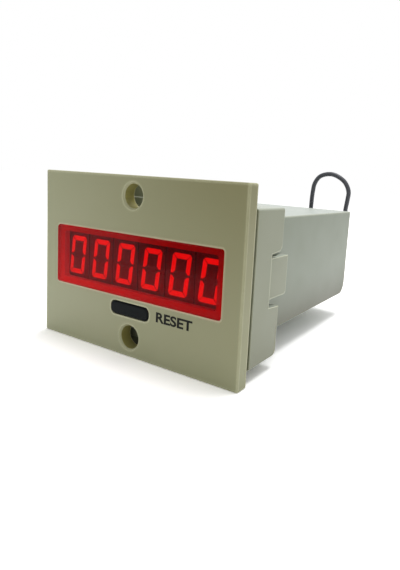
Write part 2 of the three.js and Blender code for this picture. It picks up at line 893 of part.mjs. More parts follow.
function makeBoards() {
  const displayHalfWidth = housingInnerWidth / 2 - fitGap;
  const displayHalfHeight = housingInnerHeight / 2 - fitGap;
  const display = box(
    [-displayHalfWidth, displayBoardFront, -displayHalfHeight],
    [displayHalfWidth, displayBoardBack, displayHalfHeight],
  );
  const mainHalf = housingInnerWidth / 2 - fitGap;
  const main = box(
    [-mainHalf, mainBoardFront, mainBoardTop - boardThickness],
    [mainHalf, mainBoardBack, mainBoardTop],
  );
  const header = box(
    [-headerWidth / 2, mainBoardFront, partsFloor],
    [headerWidth / 2, mainBoardFront + headerDepth, partsFloor + headerHeight],
  );
  return [
    piece('display_board', display, boardGreen()),
    piece('main_board', main, boardGreen()),
    piece('board_header', header, blackPlastic()),
  ];
}

// Terminal block

const bayWidth = terminalPitch - barrierThickness;
const bayHeight = blockHeight - 2 * blockEdge;
const bayFloor = blockBack - bayDepth;
const screwHeadDiameter = screwHeadShare * bayWidth;
const screwShankDiameter = screwShankShare * screwHeadDiameter;
const clampFront = bayFloor + fitGap;
const clampBack = clampFront + clampThickness;

function makeTerminals() {
  const right = blockLeft + blockWidth;
  let block = solidOf(
    box([blockLeft, blockFront, blockFloor], [right, blockBack, blockFloor + blockHeight]),
  );
  const pieces = [];
  for (let number = 1; number <= terminalCount; number += 1) {
    const x = blockLeft + barrierThickness / 2 + (number - 1 / 2) * terminalPitch;
    const bayLow = blockMiddle - bayHeight / 2;
    const bay = box(
      [x - bayWidth / 2, bayFloor, bayLow],
      [x + bayWidth / 2, blockBack + cutOverrun, bayLow + bayHeight],
    );
    const shankHole = screwShankDiameter + 2 * screwClearance;
    const holeFront = clampFront - screwShankLength - fitGap;
    const hole = barAlongY(shankHole, holeFront, blockBack, x, blockMiddle, coarseSteps);
    block = block.subtract(solidOf(bay)).subtract(solidOf(hole));
    pieces.push(makeClampPlate(number, x), makeTerminalScrew(number, x));
  }
  pieces.push(piece('terminal_block', block, blackPlastic()));
  return pieces;
}

// The square plate that a terminal screw presses on the wire.
function makeClampPlate(number, x) {
  const side = bayWidth - 2 * clampFit;
  const outline = shifted(roundedPoints(side, side, clampThickness, 2), x, blockMiddle);
  const plate = solidOf(rearward(outline, clampFront, clampBack));
  const holeWidth = screwShankDiameter + 2 * screwClearance;
  const holeFront = clampFront - cutOverrun;
  const holeBack = clampBack + cutOverrun;
  const hole = barAlongY(holeWidth, holeFront, holeBack, x, blockMiddle, coarseSteps);
  return piece(`clamp_plate_${number}`, plate.subtract(solidOf(hole)), tinned());
}

// A slotted pan-head screw that faces the rear.
function makeTerminalScrew(number, x) {
  const seat = clampBack + fitGap;
  const crown = screwHeadHeight / 3;
  const head = screwHeadDiameter / 2;
  const shank = screwShankDiameter / 2;
  const profile = [
    [0, clampFront - screwShankLength],
    [shank, clampFront - screwShankLength],
    [shank, seat],
    [head, seat],
    [head, seat + screwHeadHeight - crown],
    [head - crown, seat + screwHeadHeight],
    [0, seat + screwHeadHeight],
  ];
  const screw = solidOf(turnedAlongY(profile, x, blockMiddle, coarseSteps));
  const slotFront = seat + screwHeadHeight - screwSlotDepth;
  const slot = box(
    [x - head - cutOverrun, slotFront, blockMiddle - screwSlotWidth / 2],
    [x + head + cutOverrun, slotFront + screwSlotDepth + cutOverrun, blockMiddle + screwSlotWidth / 2],
  );
  return piece(`terminal_screw_${number}`, screw.subtract(solidOf(slot)), steel());
}

// Parts on the main board. Places are shares of the room between the header and the block.
const roomFront = mainBoardFront + headerDepth;
const roomLength = blockFront - roomFront;
const roomHalfWidth = housingInnerWidth / 2;
const placeShares = {
  transformer: [-0.43, 0.73],
  reservoir: [0.33, 0.8],
  output: [0.75, 0.8],
  rectifier: [0.06, 0.51],
  cell: [0.6, 0.51],
  chip: [-0.41, 0.22],
  crystal: [0.1, 0.11],
  isolators: [0.64, 0.14],
  regulator: [0.2, 0.325],
};

// Sets a geometry on the board at its place.
function onBoard(geometry, place) {
  const [across, along] = placeShares[place];
  geometry.translate(across * roomHalfWidth, roomFront + along * roomLength, partsFloor);
  return geometry;
}

// A laminated core with two windows, and the winding round its middle leg.
function makeTransformer() {
  const windowHeightInCore = coreHeight - 2 * coreYoke;
  const windowWidthInCore = (coreWidth - coreLegWidth - 2 * coreYoke) / 2;
  const outer = rectangle(-coreWidth / 2, 0, coreWidth / 2, coreHeight);
  let core = solidOf(rearward(outer, -coreDepth / 2, coreDepth / 2));
  for (const end of [-1, 1]) {
    const middle = end * (coreLegWidth + windowWidthInCore) / 2;
    const opening = rectangle(
      middle - windowWidthInCore / 2,
      coreYoke,
      middle + windowWidthInCore / 2,
      coreYoke + windowHeightInCore,
    );
    core = core.subtract(solidOf(rearward(opening, -coreDepth, coreDepth)));
  }
  const turnsWidth = coreLegWidth + 2 * windowWidthInCore - 2 * fitGap;
  const turnsHigh = coreYoke + windowHeightInCore - fitGap;
  const turns = upward(
    roundedPoints(turnsWidth, windingDepth, coreYoke),
    coreYoke + fitGap,
    turnsHigh,
  );
  const bore = upward(
    rectangle(
      -coreLegWidth / 2 - fitGap,
      -coreDepth / 2 - fitGap,
      coreLegWidth / 2 + fitGap,
      coreDepth / 2 + fitGap,
    ),
    0,
    coreHeight,
  );
  const winding = solidOf(turns).subtract(solidOf(bore));
  const coreMesh = piece('transformer_core', core, steel());
  const windingMesh = piece('transformer_winding', winding, copper());
  for (const mesh of [coreMesh, windingMesh]) {
    onBoard(mesh.geometry, 'transformer');
  }
  return [coreMesh, windingMesh];
}

// An upright can with a rolled groove near its foot.
function makeCan(name, diameter, height, place) {
  const radius = diameter / 2;
  const grooveShares = [0.1, 0.15, 0.2];
  const [grooveStart, grooveMiddle, grooveEnd] = grooveShares.map((share) => share * height);
  const profile = [
    [0, 0],
    [radius, 0],
    [radius, grooveStart],
    [radius - capGroove, grooveMiddle],
    [radius, grooveEnd],
    [radius, height - capGroove],
    [radius - capGroove, height],
    [0, height],
  ];
  return piece(name, onBoard(turnedUpright(profile, coarseSteps), place), blueSleeve());
}

function makeBackupCell() {
  const bar = new THREE.CylinderGeometry(
    cellDiameter / 2,
    cellDiameter / 2,
    cellLength,
    roundSteps,
  );
  bar.rotateZ(quarterTurn);
  bar.translate(0, 0, cellDiameter / 2);
  return piece('backup_cell', onBoard(bar, 'cell'), finish(0x5a8a3a, 0.45));
}

function makeChips() {
  const body = solidOf(
    box([-chipLength / 2, -chipWidth / 2, 0], [chipLength / 2, chipWidth / 2, chipHeight]),
  );
  const mark = new THREE.CylinderGeometry(chipNotchRadius, chipNotchRadius, chipHeight, coarseSteps);
  mark.rotateX(quarterTurn);
  mark.translate(-chipLength / 2, 0, chipHeight);
  const chip = piece('counter_chip', body.subtract(solidOf(mark)), blackPlastic());
  onBoard(chip.geometry, 'chip');
  const pieces = [chip];
  for (const number of [1, 2]) {
    const x = (number - 3 / 2) * isolatorSpacing;
    const isolator = box(
      [x - isolatorLength / 2, -chipWidth / 2, 0],
      [x + isolatorLength / 2, chipWidth / 2, chipHeight],
    );
    pieces.push(piece(`input_isolator_${number}`, onBoard(isolator, 'isolators'), blackPlastic()));
  }
  return pieces;
}

function makeSmallParts() {
  const bridge = turnedUpright(
    [
      [0, 0],
      [rectifierDiameter / 2, 0],
      [rectifierDiameter / 2, rectifierHeight],
      [0, rectifierHeight],
    ],
    roundSteps,
  );
  const can = upward(
    roundedPoints(crystalLength, crystalWidth, crystalWidth / 2 - fitGap),
    0,
    crystalHeight,
  );
  const body = solidOf(
    box(
      [-regulatorWidth / 2, -regulatorDepth / 2, 0],
      [regulatorWidth / 2, regulatorDepth / 2, regulatorHeight],
    ),
  );
  const tabBack = regulatorDepth / 2;
  const tab = solidOf(
    box(
      [-regulatorWidth / 2, tabBack - tabThickness, 0],
      [regulatorWidth / 2, tabBack, regulatorHeight + tabHeight],
    ),
  );
  const holeHeight = regulatorHeight + tabHeight / 2;
  const hole = barAlongY(
    tabHoleDiameter,
    -regulatorDepth,
    regulatorDepth,
    0,
    holeHeight,
    coarseSteps,
  );
  const regulator = piece(
    'voltage_regulator',
    body.add(tab).subtract(solidOf(hole)),
    blackPlastic(),
  );
  onBoard(regulator.geometry, 'regulator');
  return [
    piece('bridge_rectifier', onBoard(bridge, 'rectifier'), blackPlastic()),
    piece('clock_crystal', onBoard(can, 'crystal'), steel()),
    regulator,
  ];
}

// Lead

function makeGland() {
  const neck = glandHoleDiameter / 2 - fitGap;
  const flange = glandFlangeDiameter / 2;
  const mouth = glandMouthDiameter / 2;
  const inside = housingInnerBack - fitGap;
  const seat = housingBack + fitGap;
  const shoulder = housingBack + glandFlangeThickness;
  const profile = [
    [0, inside - glandFlangeThickness],
    [flange, inside - glandFlangeThickness],
    [flange, inside],
    [neck, inside],
    [neck, seat],
    [flange, seat],
    [flange, shoulder],
    [neck, shoulder + fitGap],
    [mouth, glandMouth],
    [0, glandMouth],
  ];
  return piece('lead_gland', turnedAlongY(profile, glandShift, glandRise), blackPlastic());
}

// The route of the lead from the gland, over its arch and down to the coil. The points are
// chosen by hand. Those of the arch are counted from the gland, the last ones from the middle
// and the floor of the coil.
const leadRadius = leadDiameter / 2;
const coilFloor = floorLevel + tieThickness + fitGap + leadRadius;
const routeStart = [glandShift, glandMouth + leadFit, glandRise];
const routeEnd = [coilRightward + leadDiameter + leadFit, coilRearward - coilStart, coilFloor];
const archPoints = [
  [0, 92.7, 4],
  [0, 93.9, 4.05],
  [0, 96.9, 5.3],
  [0.1, 98.3, 8.6],
  [-0.1, 98.4, 12],
  [-0.2, 98.3, 16],
  [0.3, 98.2, 20],
  [0.5, 98.1, 23.8],
  [-1.2, 98, 27.3],
  [-3.7, 98, 29.3],
  [-7, 98, 30.6],
  [-10.2, 98, 30.5],
  [-13.1, 98.1, 29.3],
  [-15.1, 98.2, 26.4],
  [-15.8, 98.3, 22.4],
  [-16.1, 98.4, 15],
  [-16.2, 98.4, 5],
  [-16.3, 98.3, -6],
];
const floorPoints = [
  [18.6, 98.1, 9.1],
  [16.2, 97.9, 3.3],
  [11.8, 97.84, 0.5],
  [7, 97.84, 0],
  [4.6, 97.84, 0],
];
const routePoints = [
  routeStart,
  ...archPoints.map(([x, y, z]) => [glandShift + x, y, z]),
  ...floorPoints.map(([x, y, z]) => [coilRightward + x, y, coilFloor + z]),
  routeEnd,
];

// A tube of the lead's diameter along a list of points.
function makeLeadTube() {
  const points = routePoints.map(([x, y, z]) => new THREE.Vector3(x, y, z));
  const path = new THREE.CatmullRomCurve3(points, false, 'centripetal');
  const section = new THREE.Shape();
  section.absarc(0, 0, leadRadius, 0, 4 * quarterTurn);
  const ring = section.getSpacedPoints(leadSides).slice(0, leadSides);
  const steps = Math.ceil(path.getLength() / (2 * leadDiameter));
  const tube = new THREE.ExtrudeGeometry(new THREE.Shape(ring), {
    steps,
    extrudePath: path,
    bevelEnabled: false,
  });
  return piece('signal_lead', tube, darkLead());
}

// The coil's centreline: layers that spiral in and out in turn, each one climbing to the next
// in the half turn where the spiral reverses. The tail climbs once more and then draws in, so
// that the end of the lead lies on top.
function coilPoint(turn) {
  const piled = coilTurnsPerLayer * coilLayers;
  const wound = Math.min(turn, piled);
  const layer = Math.min(Math.floor(wound / coilTurnsPerLayer), coilLayers - 1);
  const within = wound - layer * coilTurnsPerLayer;
  const inward = layer % 2 === 0 ? within : coilTurnsPerLayer - within;
  let radius = coilStart - inward * coilSpacing;
  let level = layer;
  const reversal = Math.round(turn / coilTurnsPerLayer);
  if (reversal > 0) {
    const past = (turn - reversal * coilTurnsPerLayer) / climbTurns;
    level = reversal - 1 / 2 + THREE.MathUtils.clamp(past, -1 / 2, 1 / 2);
  }
  if (turn > piled) {
    const tail = (turn - piled) / tailTurns;
    radius -= (coilStart - tailRadius) * THREE.MathUtils.smoothstep(tail, tailStartShare, 1);
  }
  const angle = -quarterTurn - turn * 4 * quarterTurn;
  return new THREE.Vector3(
    coilRightward + radius * Math.cos(angle),
    coilRearward + radius * Math.sin(angle),
    coilFloor + level * coilSpacing,
  );
}

// The whole centreline, with a straight start and a straight end.
function coilLine() {
  const count = Math.round((coilTurnsPerLayer * coilLayers + tailTurns) * coilStepsPerTurn);
  const turns = [];
  for (let step = 0; step <= count; step += 1) {
    turns.push(coilPoint(step / coilStepsPerTurn));
  }
  const straight = new THREE.Vector3(leadDiameter, 0, 0);
  const first = turns[0].clone().add(straight);
  const last = turns[count].clone().add(straight);
  return [first, ...turns, last];
}

// Rings of points round a line of centres, joined into one closed tube.
function tubeAlong(line, radius, sides) {
  const positions = [];
  const index = [];
  const tangents = line.map((point, i) => {
    const before = line[Math.max(i - 1, 0)];
    const after = line[Math.min(i + 1, line.length - 1)];
    return new THREE.Vector3().subVectors(after, before).normalize();
  });
  const up = new THREE.Vector3(0, 0, 1);
  line.forEach((point, i) => {
    const across = new THREE.Vector3().crossVectors(tangents[i], up).normalize();
    const rise = new THREE.Vector3().crossVectors(across, tangents[i]);
    for (let side = 0; side < sides; side += 1) {
      const angle = (side / sides) * 4 * quarterTurn;
      const place = point.clone();
      place.addScaledVector(across, radius * Math.cos(angle));
      place.addScaledVector(rise, radius * Math.sin(angle));
      positions.push(place.x, place.y, place.z);
    }
  });
  for (let ring = 0; ring + 1 < line.length; ring += 1) {
    for (let side = 0; side < sides; side += 1) {
      const a = ring * sides + side;
      const b = ring * sides + (side + 1) % sides;
      index.push(a, b + sides, b, a, a + sides, b + sides);
    }
  }
  const last = (line.length - 1) * sides;
  for (let side = 1; side + 1 < sides; side += 1) {
    index.push(0, side, side + 1);
    index.push(last, last + side + 1, last + side);
  }
  const geometry = new THREE.BufferGeometry();
  geometry.setAttribute('position', new THREE.Float32BufferAttribute(positions, 3));
  geometry.setIndex(index);
  return geometry;
}

// The least distance between the surfaces of two stretches of one tube that aren't neighbours.
function leastSelfGap(line, diameter) {
  let least = Infinity;
  const apart = Math.ceil(coilStepsPerTurn / 2);
  for (let i = 0; i < line.length; i += 1) {
    for (let j = i + apart; j < line.length; j += 1) {
      least = Math.min(least, line[i].distanceTo(line[j]) - diameter);
    }
  }
  return least;
}

const coilCentres = coilLine();

function makeCoil() {
  const gap = leastSelfGap(coilCentres, leadDiameter);
  console.log(`signal_lead_coil: least gap to itself ${gap.toFixed(3)} mm`);
  return piece('signal_lead_coil', tubeAlong(coilCentres, leadRadius, coilSides), darkLead());
}

// A thin band round the bundle of turns.
function makeTie() {
  const turnsHalf = coilTurnsPerLayer * coilSpacing / 2 + leadRadius;
  const innerHalf = turnsHalf + fitGap;
  const low = coilFloor - leadRadius - fitGap;
  const high = coilFloor + (coilLayers - 1) * coilSpacing + leadRadius + fitGap;
  const outer = rectangle(
    -innerHalf - tieThickness,
    low - tieThickness,
    innerHalf + tieThickness,
    high + tieThickness,
  );
  const inner = rectangle(-innerHalf, low, innerHalf, high);
  const band = solidOf(rearward(outer, -tieWidth / 2, tieWidth / 2));
  const bore = solidOf(rearward(inner, -tieWidth, tieWidth));
  const tie = piece('coil_tie', band.subtract(bore), blackPlastic());
  tie.geometry.translate(coilRadius, 0, 0);
  tie.geometry.rotateZ(tieAngle);
  tie.geometry.translate(coilRightward, coilRearward, 0);
  return tie;
}

// The stripped end of the lead: a shrunk sleeve and two crimped cores that spread a little.
function makeLeadEnd() {
  const sleeveRadius = sleeveDiameter / 2;
  const sleeve = new THREE.CylinderGeometry(sleeveRadius, sleeveRadius, sleeveLength, coarseSteps);
  sleeve.rotateZ(quarterTurn);
  sleeve.translate(sleeveLength / 2, 0, 0);
  let end = solidOf(sleeve);
  for (const side of [-1, 1]) {
    const coreRadius = coreDiameter / 2;
    const core = new THREE.CylinderGeometry(coreRadius, coreRadius, coreLength, leadSides);
    core.rotateZ(quarterTurn);
    core.translate(coreLength / 2, 0, 0);
    core.rotateZ(side * coreSplayAngle);
    core.translate(sleeveLength - coreDiameter, side * coreSpacing / 2, 0);
    end = end.add(solidOf(core));
  }
  const tail = coilCentres[coilCentres.length - 1];
  const mesh = piece('lead_end', end, tinned());
  mesh.position.set(tail.x + leadFit, tail.y, tail.z);
  return mesh;
}

const counter = new THREE.Group();
counter.add(makeBezel(), makeLens(), ...makeDigits());
counter.add(makeButton(), ...makeSwitch());
counter.add(makeHousing(), makeCollar(), ...makeBoards(), ...makeTerminals());
counter.add(...makeTransformer(), makeBackupCell(), ...makeChips(), ...makeSmallParts());
counter.add(makeCan('reservoir_capacitor', reservoirDiameter, reservoirHeight, 'reservoir'));
counter.add(makeCan('output_capacitor', outputDiameter, outputHeight, 'output'));
counter.add(makeGland(), makeLeadTube(), makeCoil(), makeTie(), makeLeadEnd());
counter.position.set(0, (lensProud - housingBack) / 2, bezelHeight / 2);

const part = new THREE.Group();
part.add(counter);

export default part;
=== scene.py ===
# %% [markdown]
# # A six-digit panel counter
# The engineering model of the counter is loaded first and stays as it is: it fixes where each
# piece sits and how it moves. Every step below either dresses one of its solids with a finish or
# builds a finer piece in the same place. Units are metres, and most sizes are written in
# millimetres and placed by one helper, because a maker's drawing gives them that way.

# %% Load the frame
import math

import bmesh
import bpy
from mathutils import Matrix, Vector


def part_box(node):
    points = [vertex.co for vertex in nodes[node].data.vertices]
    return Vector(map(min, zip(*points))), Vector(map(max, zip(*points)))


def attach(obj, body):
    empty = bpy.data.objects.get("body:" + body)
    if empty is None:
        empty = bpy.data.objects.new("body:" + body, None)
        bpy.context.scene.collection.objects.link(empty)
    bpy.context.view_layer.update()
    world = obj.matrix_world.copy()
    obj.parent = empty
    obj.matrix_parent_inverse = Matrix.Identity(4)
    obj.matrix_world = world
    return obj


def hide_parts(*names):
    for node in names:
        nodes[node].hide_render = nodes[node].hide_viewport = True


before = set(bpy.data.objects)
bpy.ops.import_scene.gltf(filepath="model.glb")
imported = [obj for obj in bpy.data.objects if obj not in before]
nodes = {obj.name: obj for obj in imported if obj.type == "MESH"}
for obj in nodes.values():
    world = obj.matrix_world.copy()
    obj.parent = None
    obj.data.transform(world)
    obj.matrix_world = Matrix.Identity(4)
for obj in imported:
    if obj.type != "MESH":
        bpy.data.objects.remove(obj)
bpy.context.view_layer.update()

# %% [markdown]
# ## Places
# All drawings of the counter start at the middle of the bezel's front face: x to the right,
# y rearward, z up. The loaded solids tell where that point lies, so one helper can turn a
# drawing's millimetres into a place in the scene. That keeps each number below readable.

# %% Turn the drawing's millimetres into places
MM = 0.001
bezel_low, bezel_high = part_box("front_bezel")
front_face = bezel_low.y
bezel_middle = (bezel_low.z + bezel_high.z) / 2


def at(x, y, z):
    """A point of the drawing, in the scene."""
    return Vector((x * MM, y * MM + front_face, z * MM + bezel_middle))


def put(name, data):
    """A new object in the scene, from its mesh, curve, lamp or camera."""
    obj = bpy.data.objects.new(name, data)
    bpy.context.scene.collection.objects.link(obj)
    return obj


print("the bezel's middle is at", [round(value, 5) for value in at(0, 0, 0)])

# %% [markdown]
# ## Camera
# The photograph looks at the counter from the front and a little from the right, from just
# above, and it was taken close, so the bezel's near edge looks taller than its far one. A short
# lens near the object gives that. The camera is turned by three plain angles: round the object,
# down, and a small roll. The shift slides the picture in its frame without bending it.

# %% Set the camera
CAMERA_PLACE = (0.08769, -0.12956, 0.05012)
CAMERA_TURN, CAMERA_DROP, CAMERA_ROLL = 30.133, 7.412, 3.694
CAMERA_LENS, CAMERA_SENSOR = 28.336, 36
CAMERA_SHIFT = (-0.09067, -0.07777)
NEAREST_SEEN = 0.005

camera_data = bpy.data.cameras.new("camera")
camera_data.lens = CAMERA_LENS
camera_data.sensor_width = CAMERA_SENSOR
camera_data.sensor_fit = "AUTO"
camera_data.shift_x, camera_data.shift_y = CAMERA_SHIFT
camera_data.clip_start = NEAREST_SEEN
camera = put("camera", camera_data)
camera.matrix_world = (
    Matrix.Translation(CAMERA_PLACE)
    @ Matrix.Rotation(math.radians(CAMERA_TURN), 4, "Z")
    @ Matrix.Rotation(math.radians(90 - CAMERA_DROP), 4, "X")
    @ Matrix.Rotation(math.radians(CAMERA_ROLL), 4, "Z")
)
bpy.context.scene.camera = camera
print("camera", round(camera_data.lens, 1), "mm, from the front right")

# %% [markdown]
# ## Mesh helpers
# Moulded pieces are prisms and plates with rounded outlines. Rings of points that are joined
# from front to back make such a body, and holes are then cut with boolean modifiers, much as a
# tool maker cuts a mould. Real mouldings have no knife edges, so a last helper rounds every
# sharp edge by a small amount. That thin rounded line is what catches the light.

# %% Draw outlines and join rings of points
def mesh_object(name, bm):
    """A finished bmesh as a named object in the scene."""
    bmesh.ops.recalc_face_normals(bm, faces=bm.faces)
    mesh = bpy.data.meshes.new(name)
    bm.to_mesh(mesh)
    bm.free()
    return put(name, mesh)


def circle(radius, x=0, y=0, sides=48):
    """The points round a circle, as pairs."""
    turn = 2 * math.pi / sides
    return [(x + radius * math.cos(i * turn), y + radius * math.sin(i * turn))
            for i in range(sides)]


def outline(width, height, radius, x=0, z=0, steps=8):
    """A rounded rectangle, as pairs of across and up."""
    points = []
    for corner, (side, rise) in enumerate(((1, 1), (-1, 1), (-1, -1), (1, -1))):
        for step in range(steps + 1):
            angle = math.pi / 2 * (corner + step / steps)
            across = side * (width / 2 - radius) + radius * math.cos(angle)
            up = rise * (height / 2 - radius) + radius * math.sin(angle)
            points.append((x + across, z + up))
    return points


def skin(name, rings):
    """Rings of points of the drawing, joined into one closed skin."""
    bm = bmesh.new()
    loops = [[bm.verts.new(at(*point)) for point in ring] for ring in rings]
    count = len(rings[0])
    for one, two in zip(loops, loops[1:]):
        for i in range(count):
            after = (i + 1) % count
            bm.faces.new((one[i], one[after], two[after], two[i]))
    bm.faces.new(loops[0])
    bm.faces.new(loops[-1])
    return mesh_object(name, bm)


print("a rounded outline has", len(outline(2, 1, 0.1)), "points")

# %% Make plates, bars and turned bodies
def plate(name, width, height, radius, front, back, fillets=(0, 0), x=0, z=0, steps=8):
    """A rounded plate or bar from one depth to another, with its front and back edges filleted."""
    rings = []
    for fillet, depth, sense in ((fillets[0], front, 1), (fillets[1], back, -1)):
        count = 6 if fillet else 0
        some = []
        for step in range(count + 1):
            angle = math.pi / 2 * step / count if count else math.pi / 2
            inset = fillet * (1 - math.sin(angle))
            y = depth + sense * fillet * (1 - math.cos(angle))
            points = outline(width - 2 * inset, height - 2 * inset, radius - inset, x, z, steps)
            some.append([(u, y, v) for u, v in points])
        rings += some if sense > 0 else some[::-1]
    return skin(name, rings)


def prism(name, points, front, back):
    """An outline of across and up, pushed rearward."""
    return skin(name, [[(u, y, v) for u, v in points] for y in (front, back)])


def slab(name, points, left, right):
    """An outline of depth and up, pushed sideways."""
    return skin(name, [[(x, y, v) for y, v in points] for x in (left, right)])


def tier(name, points, low, high):
    """An outline of across and depth, raised."""
    return skin(name, [[(u, y, z) for u, y in points] for z in (low, high)])


def turned(name, profile, x, z, sides=48):
    """A profile of radius and depth pairs, turned about a line from front to back."""
    return skin(name, [[(u, y, v) for u, v in circle(radius, x, z, sides)]
                       for radius, y in profile])


def rod(name, diameter, front, back, x, z, sides=48):
    """A round bar from front to back."""
    return turned(name, [(diameter / 2, front), (diameter / 2, back)], x, z, sides)


def heeled(front, back, bottom, top, heel, steps=14):
    """The side of a box in depth and up, whose lower rear corner is an arc."""
    points = [(front, top), (front, bottom)]
    for step in range(steps + 1):
        angle = (step / steps - 1) * math.pi / 2
        points.append((back - heel + heel * math.cos(angle), bottom + heel + heel * math.sin(angle)))
    points.append((back, top))
    return points


print("plates, prisms, slabs, tiers, rods and turned bodies ready")

# %% Cut and join
def work(obj, operation, *tools):
    """Cuts, joins or trims an object with others, which are used up."""
    for tool in tools:
        step = obj.modifiers.new(operation, "BOOLEAN")
        step.operation = operation
        step.solver = "EXACT"
        step.object = tool
    graph = bpy.context.evaluated_depsgraph_get()
    mesh = bpy.data.meshes.new_from_object(obj.evaluated_get(graph))
    mesh.name = obj.name
    obj.modifiers.clear()
    obj.data = mesh
    for tool in tools:
        bpy.data.objects.remove(tool)
    return obj


print("booleans ready")

# %% Round the edges and seat a piece
SHARP, FLAT = 35, 0.4
SAME_POINT = 0.002


def ease_edges(obj, width, segments=2):
    """Rounds the sharp edges, by a width in millimetres."""
    bm = bmesh.new()
    bm.from_mesh(obj.data)
    bmesh.ops.remove_doubles(bm, verts=bm.verts, dist=SAME_POINT * MM)
    bmesh.ops.dissolve_limit(bm, angle_limit=math.radians(FLAT), verts=bm.verts, edges=bm.edges)
    edges = [edge for edge in bm.edges
             if len(edge.link_faces) == 2 and edge.calc_face_angle() > math.radians(SHARP)]
    bmesh.ops.bevel(bm, geom=edges, offset=width * MM, segments=segments, profile=0.5,
                    affect="EDGES", clamp_overlap=True)
    bmesh.ops.recalc_face_normals(bm, faces=bm.faces)
    bm.to_mesh(obj.data)
    bm.free()
    return smooth(obj)


def smooth(obj, angle=50):
    """Smooth shading in which the large flat faces stay flat."""
    obj.data.shade_smooth()
    obj.data.set_sharp_from_angle(angle=math.radians(angle))
    step = obj.modifiers.new("flat faces stay flat", "WEIGHTED_NORMAL")
    step.keep_sharp = True
    return obj


def seat(obj, finish, slot, *replaced, body="counter"):
    """Gives a piece its finish, and lets it ride on a body in place of the named solids. The slot is
    not used.
    """
    obj.data.materials.clear()
    obj.data.materials.append(finish)
    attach(obj, body)
    if replaced:
        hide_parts(*replaced)
    print("made", obj.name, "with", len(obj.data.polygons), "faces")
    return obj


print("edges sharper than", SHARP, "degrees get rounded")

# %% [markdown]
# ## Node helpers
# Light, floor and finishes are networks of nodes. A few helpers write them in few words: one adds
# any node, and the others stand for a sum, a change of range, a blend of two colours and a soft
# noise. Each gives back the socket that the next node needs, so a network reads like a formula.

# %% Write sums, ranges and blends in few words
def node(tree, kind, links=(), **values):
    """A node with plain values set and its inputs linked."""
    made = tree.nodes.new("ShaderNode" + kind)
    for name, value in values.items():
        setattr(made, name, value)
    for key, source in links:
        if hasattr(source, "is_linked"):
            tree.links.new(source, made.inputs[key])
        else:
            made.inputs[key].default_value = source
    return made


def maths(tree, operation, *terms, clamp=False):
    """The result of one operation on sockets and plain values."""
    return node(tree, "Math", enumerate(terms), operation=operation, use_clamp=clamp).outputs[0]


def ranged(tree, value, start, end, low=0.0, high=1.0, curve="LINEAR"):
    """A value taken from one range to another."""
    links = [("Value", value), ("From Min", start), ("From Max", end), ("To Min", low),
             ("To Max", high)]
    return node(tree, "MapRange", links, interpolation_type=curve).outputs[0]


def blended(tree, share, one, two):
    """A colour between two others."""
    return node(tree, "Mix", [(0, share), (6, one), (7, two)], data_type="RGBA").outputs[2]


print("sums, ranges and blends ready")

# %% Read a piece's places and directions, and roughen it
def on_piece(tree):
    """The place of each point of a piece."""
    return node(tree, "TexCoord").outputs["Object"]


def facing(tree):
    """The direction in which each point of a piece faces."""
    return node(tree, "NewGeometry").outputs["Normal"]


def split(tree, vector):
    """The three parts of a place or a direction."""
    return node(tree, "SeparateXYZ", [("Vector", vector)]).outputs


def noise(tree, scale, detail, place=None):
    """Soft random clouds over a piece."""
    place = on_piece(tree) if place is None else place
    return node(tree, "TexNoise", [("Vector", place), ("Scale", scale),
                                   ("Detail", detail)]).outputs["Fac"]


def bumped(tree, height, strength, depth):
    """The facing of a surface that is raised by up to a depth in millimetres."""
    return node(tree, "Bump", [("Height", height), ("Strength", strength),
                               ("Distance", depth * MM)]).outputs["Normal"]


def feed(tree, inputs, *pairs):
    """Links results to the named inputs of a shader or of a group's output."""
    for name, source in pairs:
        tree.links.new(source, inputs[name])


def new_finish(name):
    """A new material, its network and its main shader."""
    material = bpy.data.materials.new(name)
    material.use_nodes = True
    return material, material.node_tree, material.node_tree.nodes["Principled BSDF"]


print("noise and bumps ready")

# %% [markdown]
# ## Floor and light
# Product photographs like this one are taken on a white sheet in a light tent. The light comes
# from all sides and a little more from above, so shadows only hug the lower edges. A white
# surrounding and one large lamp overhead do that. The lamp hangs a little behind the object, so
# its shadow falls forward, in front of the bezel. The camera, and what mirrors or glass show, see
# plain white around the object, and the floor keeps the shadow.

# %% Light the tent
WHITE = (1, 1, 1, 1)
SURROUNDING_LEVEL = 0.70
OVERHEAD_POWER = 3.4
LAMP_SIZE = 0.36
LAMP_PLACE, LAMP_AIM = Vector((0.03, 0.13, 0.72)), Vector((0, 0, 0.03))


def shown_apart(tree, gathered, seen, output):
    """One shader where light is gathered, another where the camera, a mirror or glass looks."""
    path = node(tree, "LightPath").outputs
    looks = path["Is Camera Ray"]
    for ray in ("Is Glossy Ray", "Is Transmission Ray"):
        looks = maths(tree, "MAXIMUM", looks, path[ray])
    mix = node(tree, "MixShader", [(0, looks), (1, gathered.outputs[0]), (2, seen.outputs[0])])
    tree.links.new(mix.outputs[0], node(tree, output).inputs["Surface"])


world = bpy.data.worlds.new("light tent")
bpy.context.scene.world = world
world.use_nodes = True
tent = world.node_tree
tent.nodes.clear()
lighting, seen = (node(tent, "Background", [("Color", WHITE), ("Strength", level)])
                  for level in (SURROUNDING_LEVEL, 1.0))
shown_apart(tent, lighting, seen, "OutputWorld")

lamp_data = bpy.data.lights.new("overhead lamp", "AREA")
lamp_data.shape = "DISK"
lamp_data.size = LAMP_SIZE
lamp_data.energy = OVERHEAD_POWER
lamp = put("overhead lamp", lamp_data)
lamp.location = LAMP_PLACE
lamp.rotation_euler = (LAMP_AIM - LAMP_PLACE).to_track_quat("-Z", "Y").to_euler()
print("lamp of", LAMP_SIZE, "m above the object")

# %% Lay the floor
PAPER_LEVEL, PAPER_SHOWN = 0.86, 1.46
FLOOR_RADIUS = 6.0

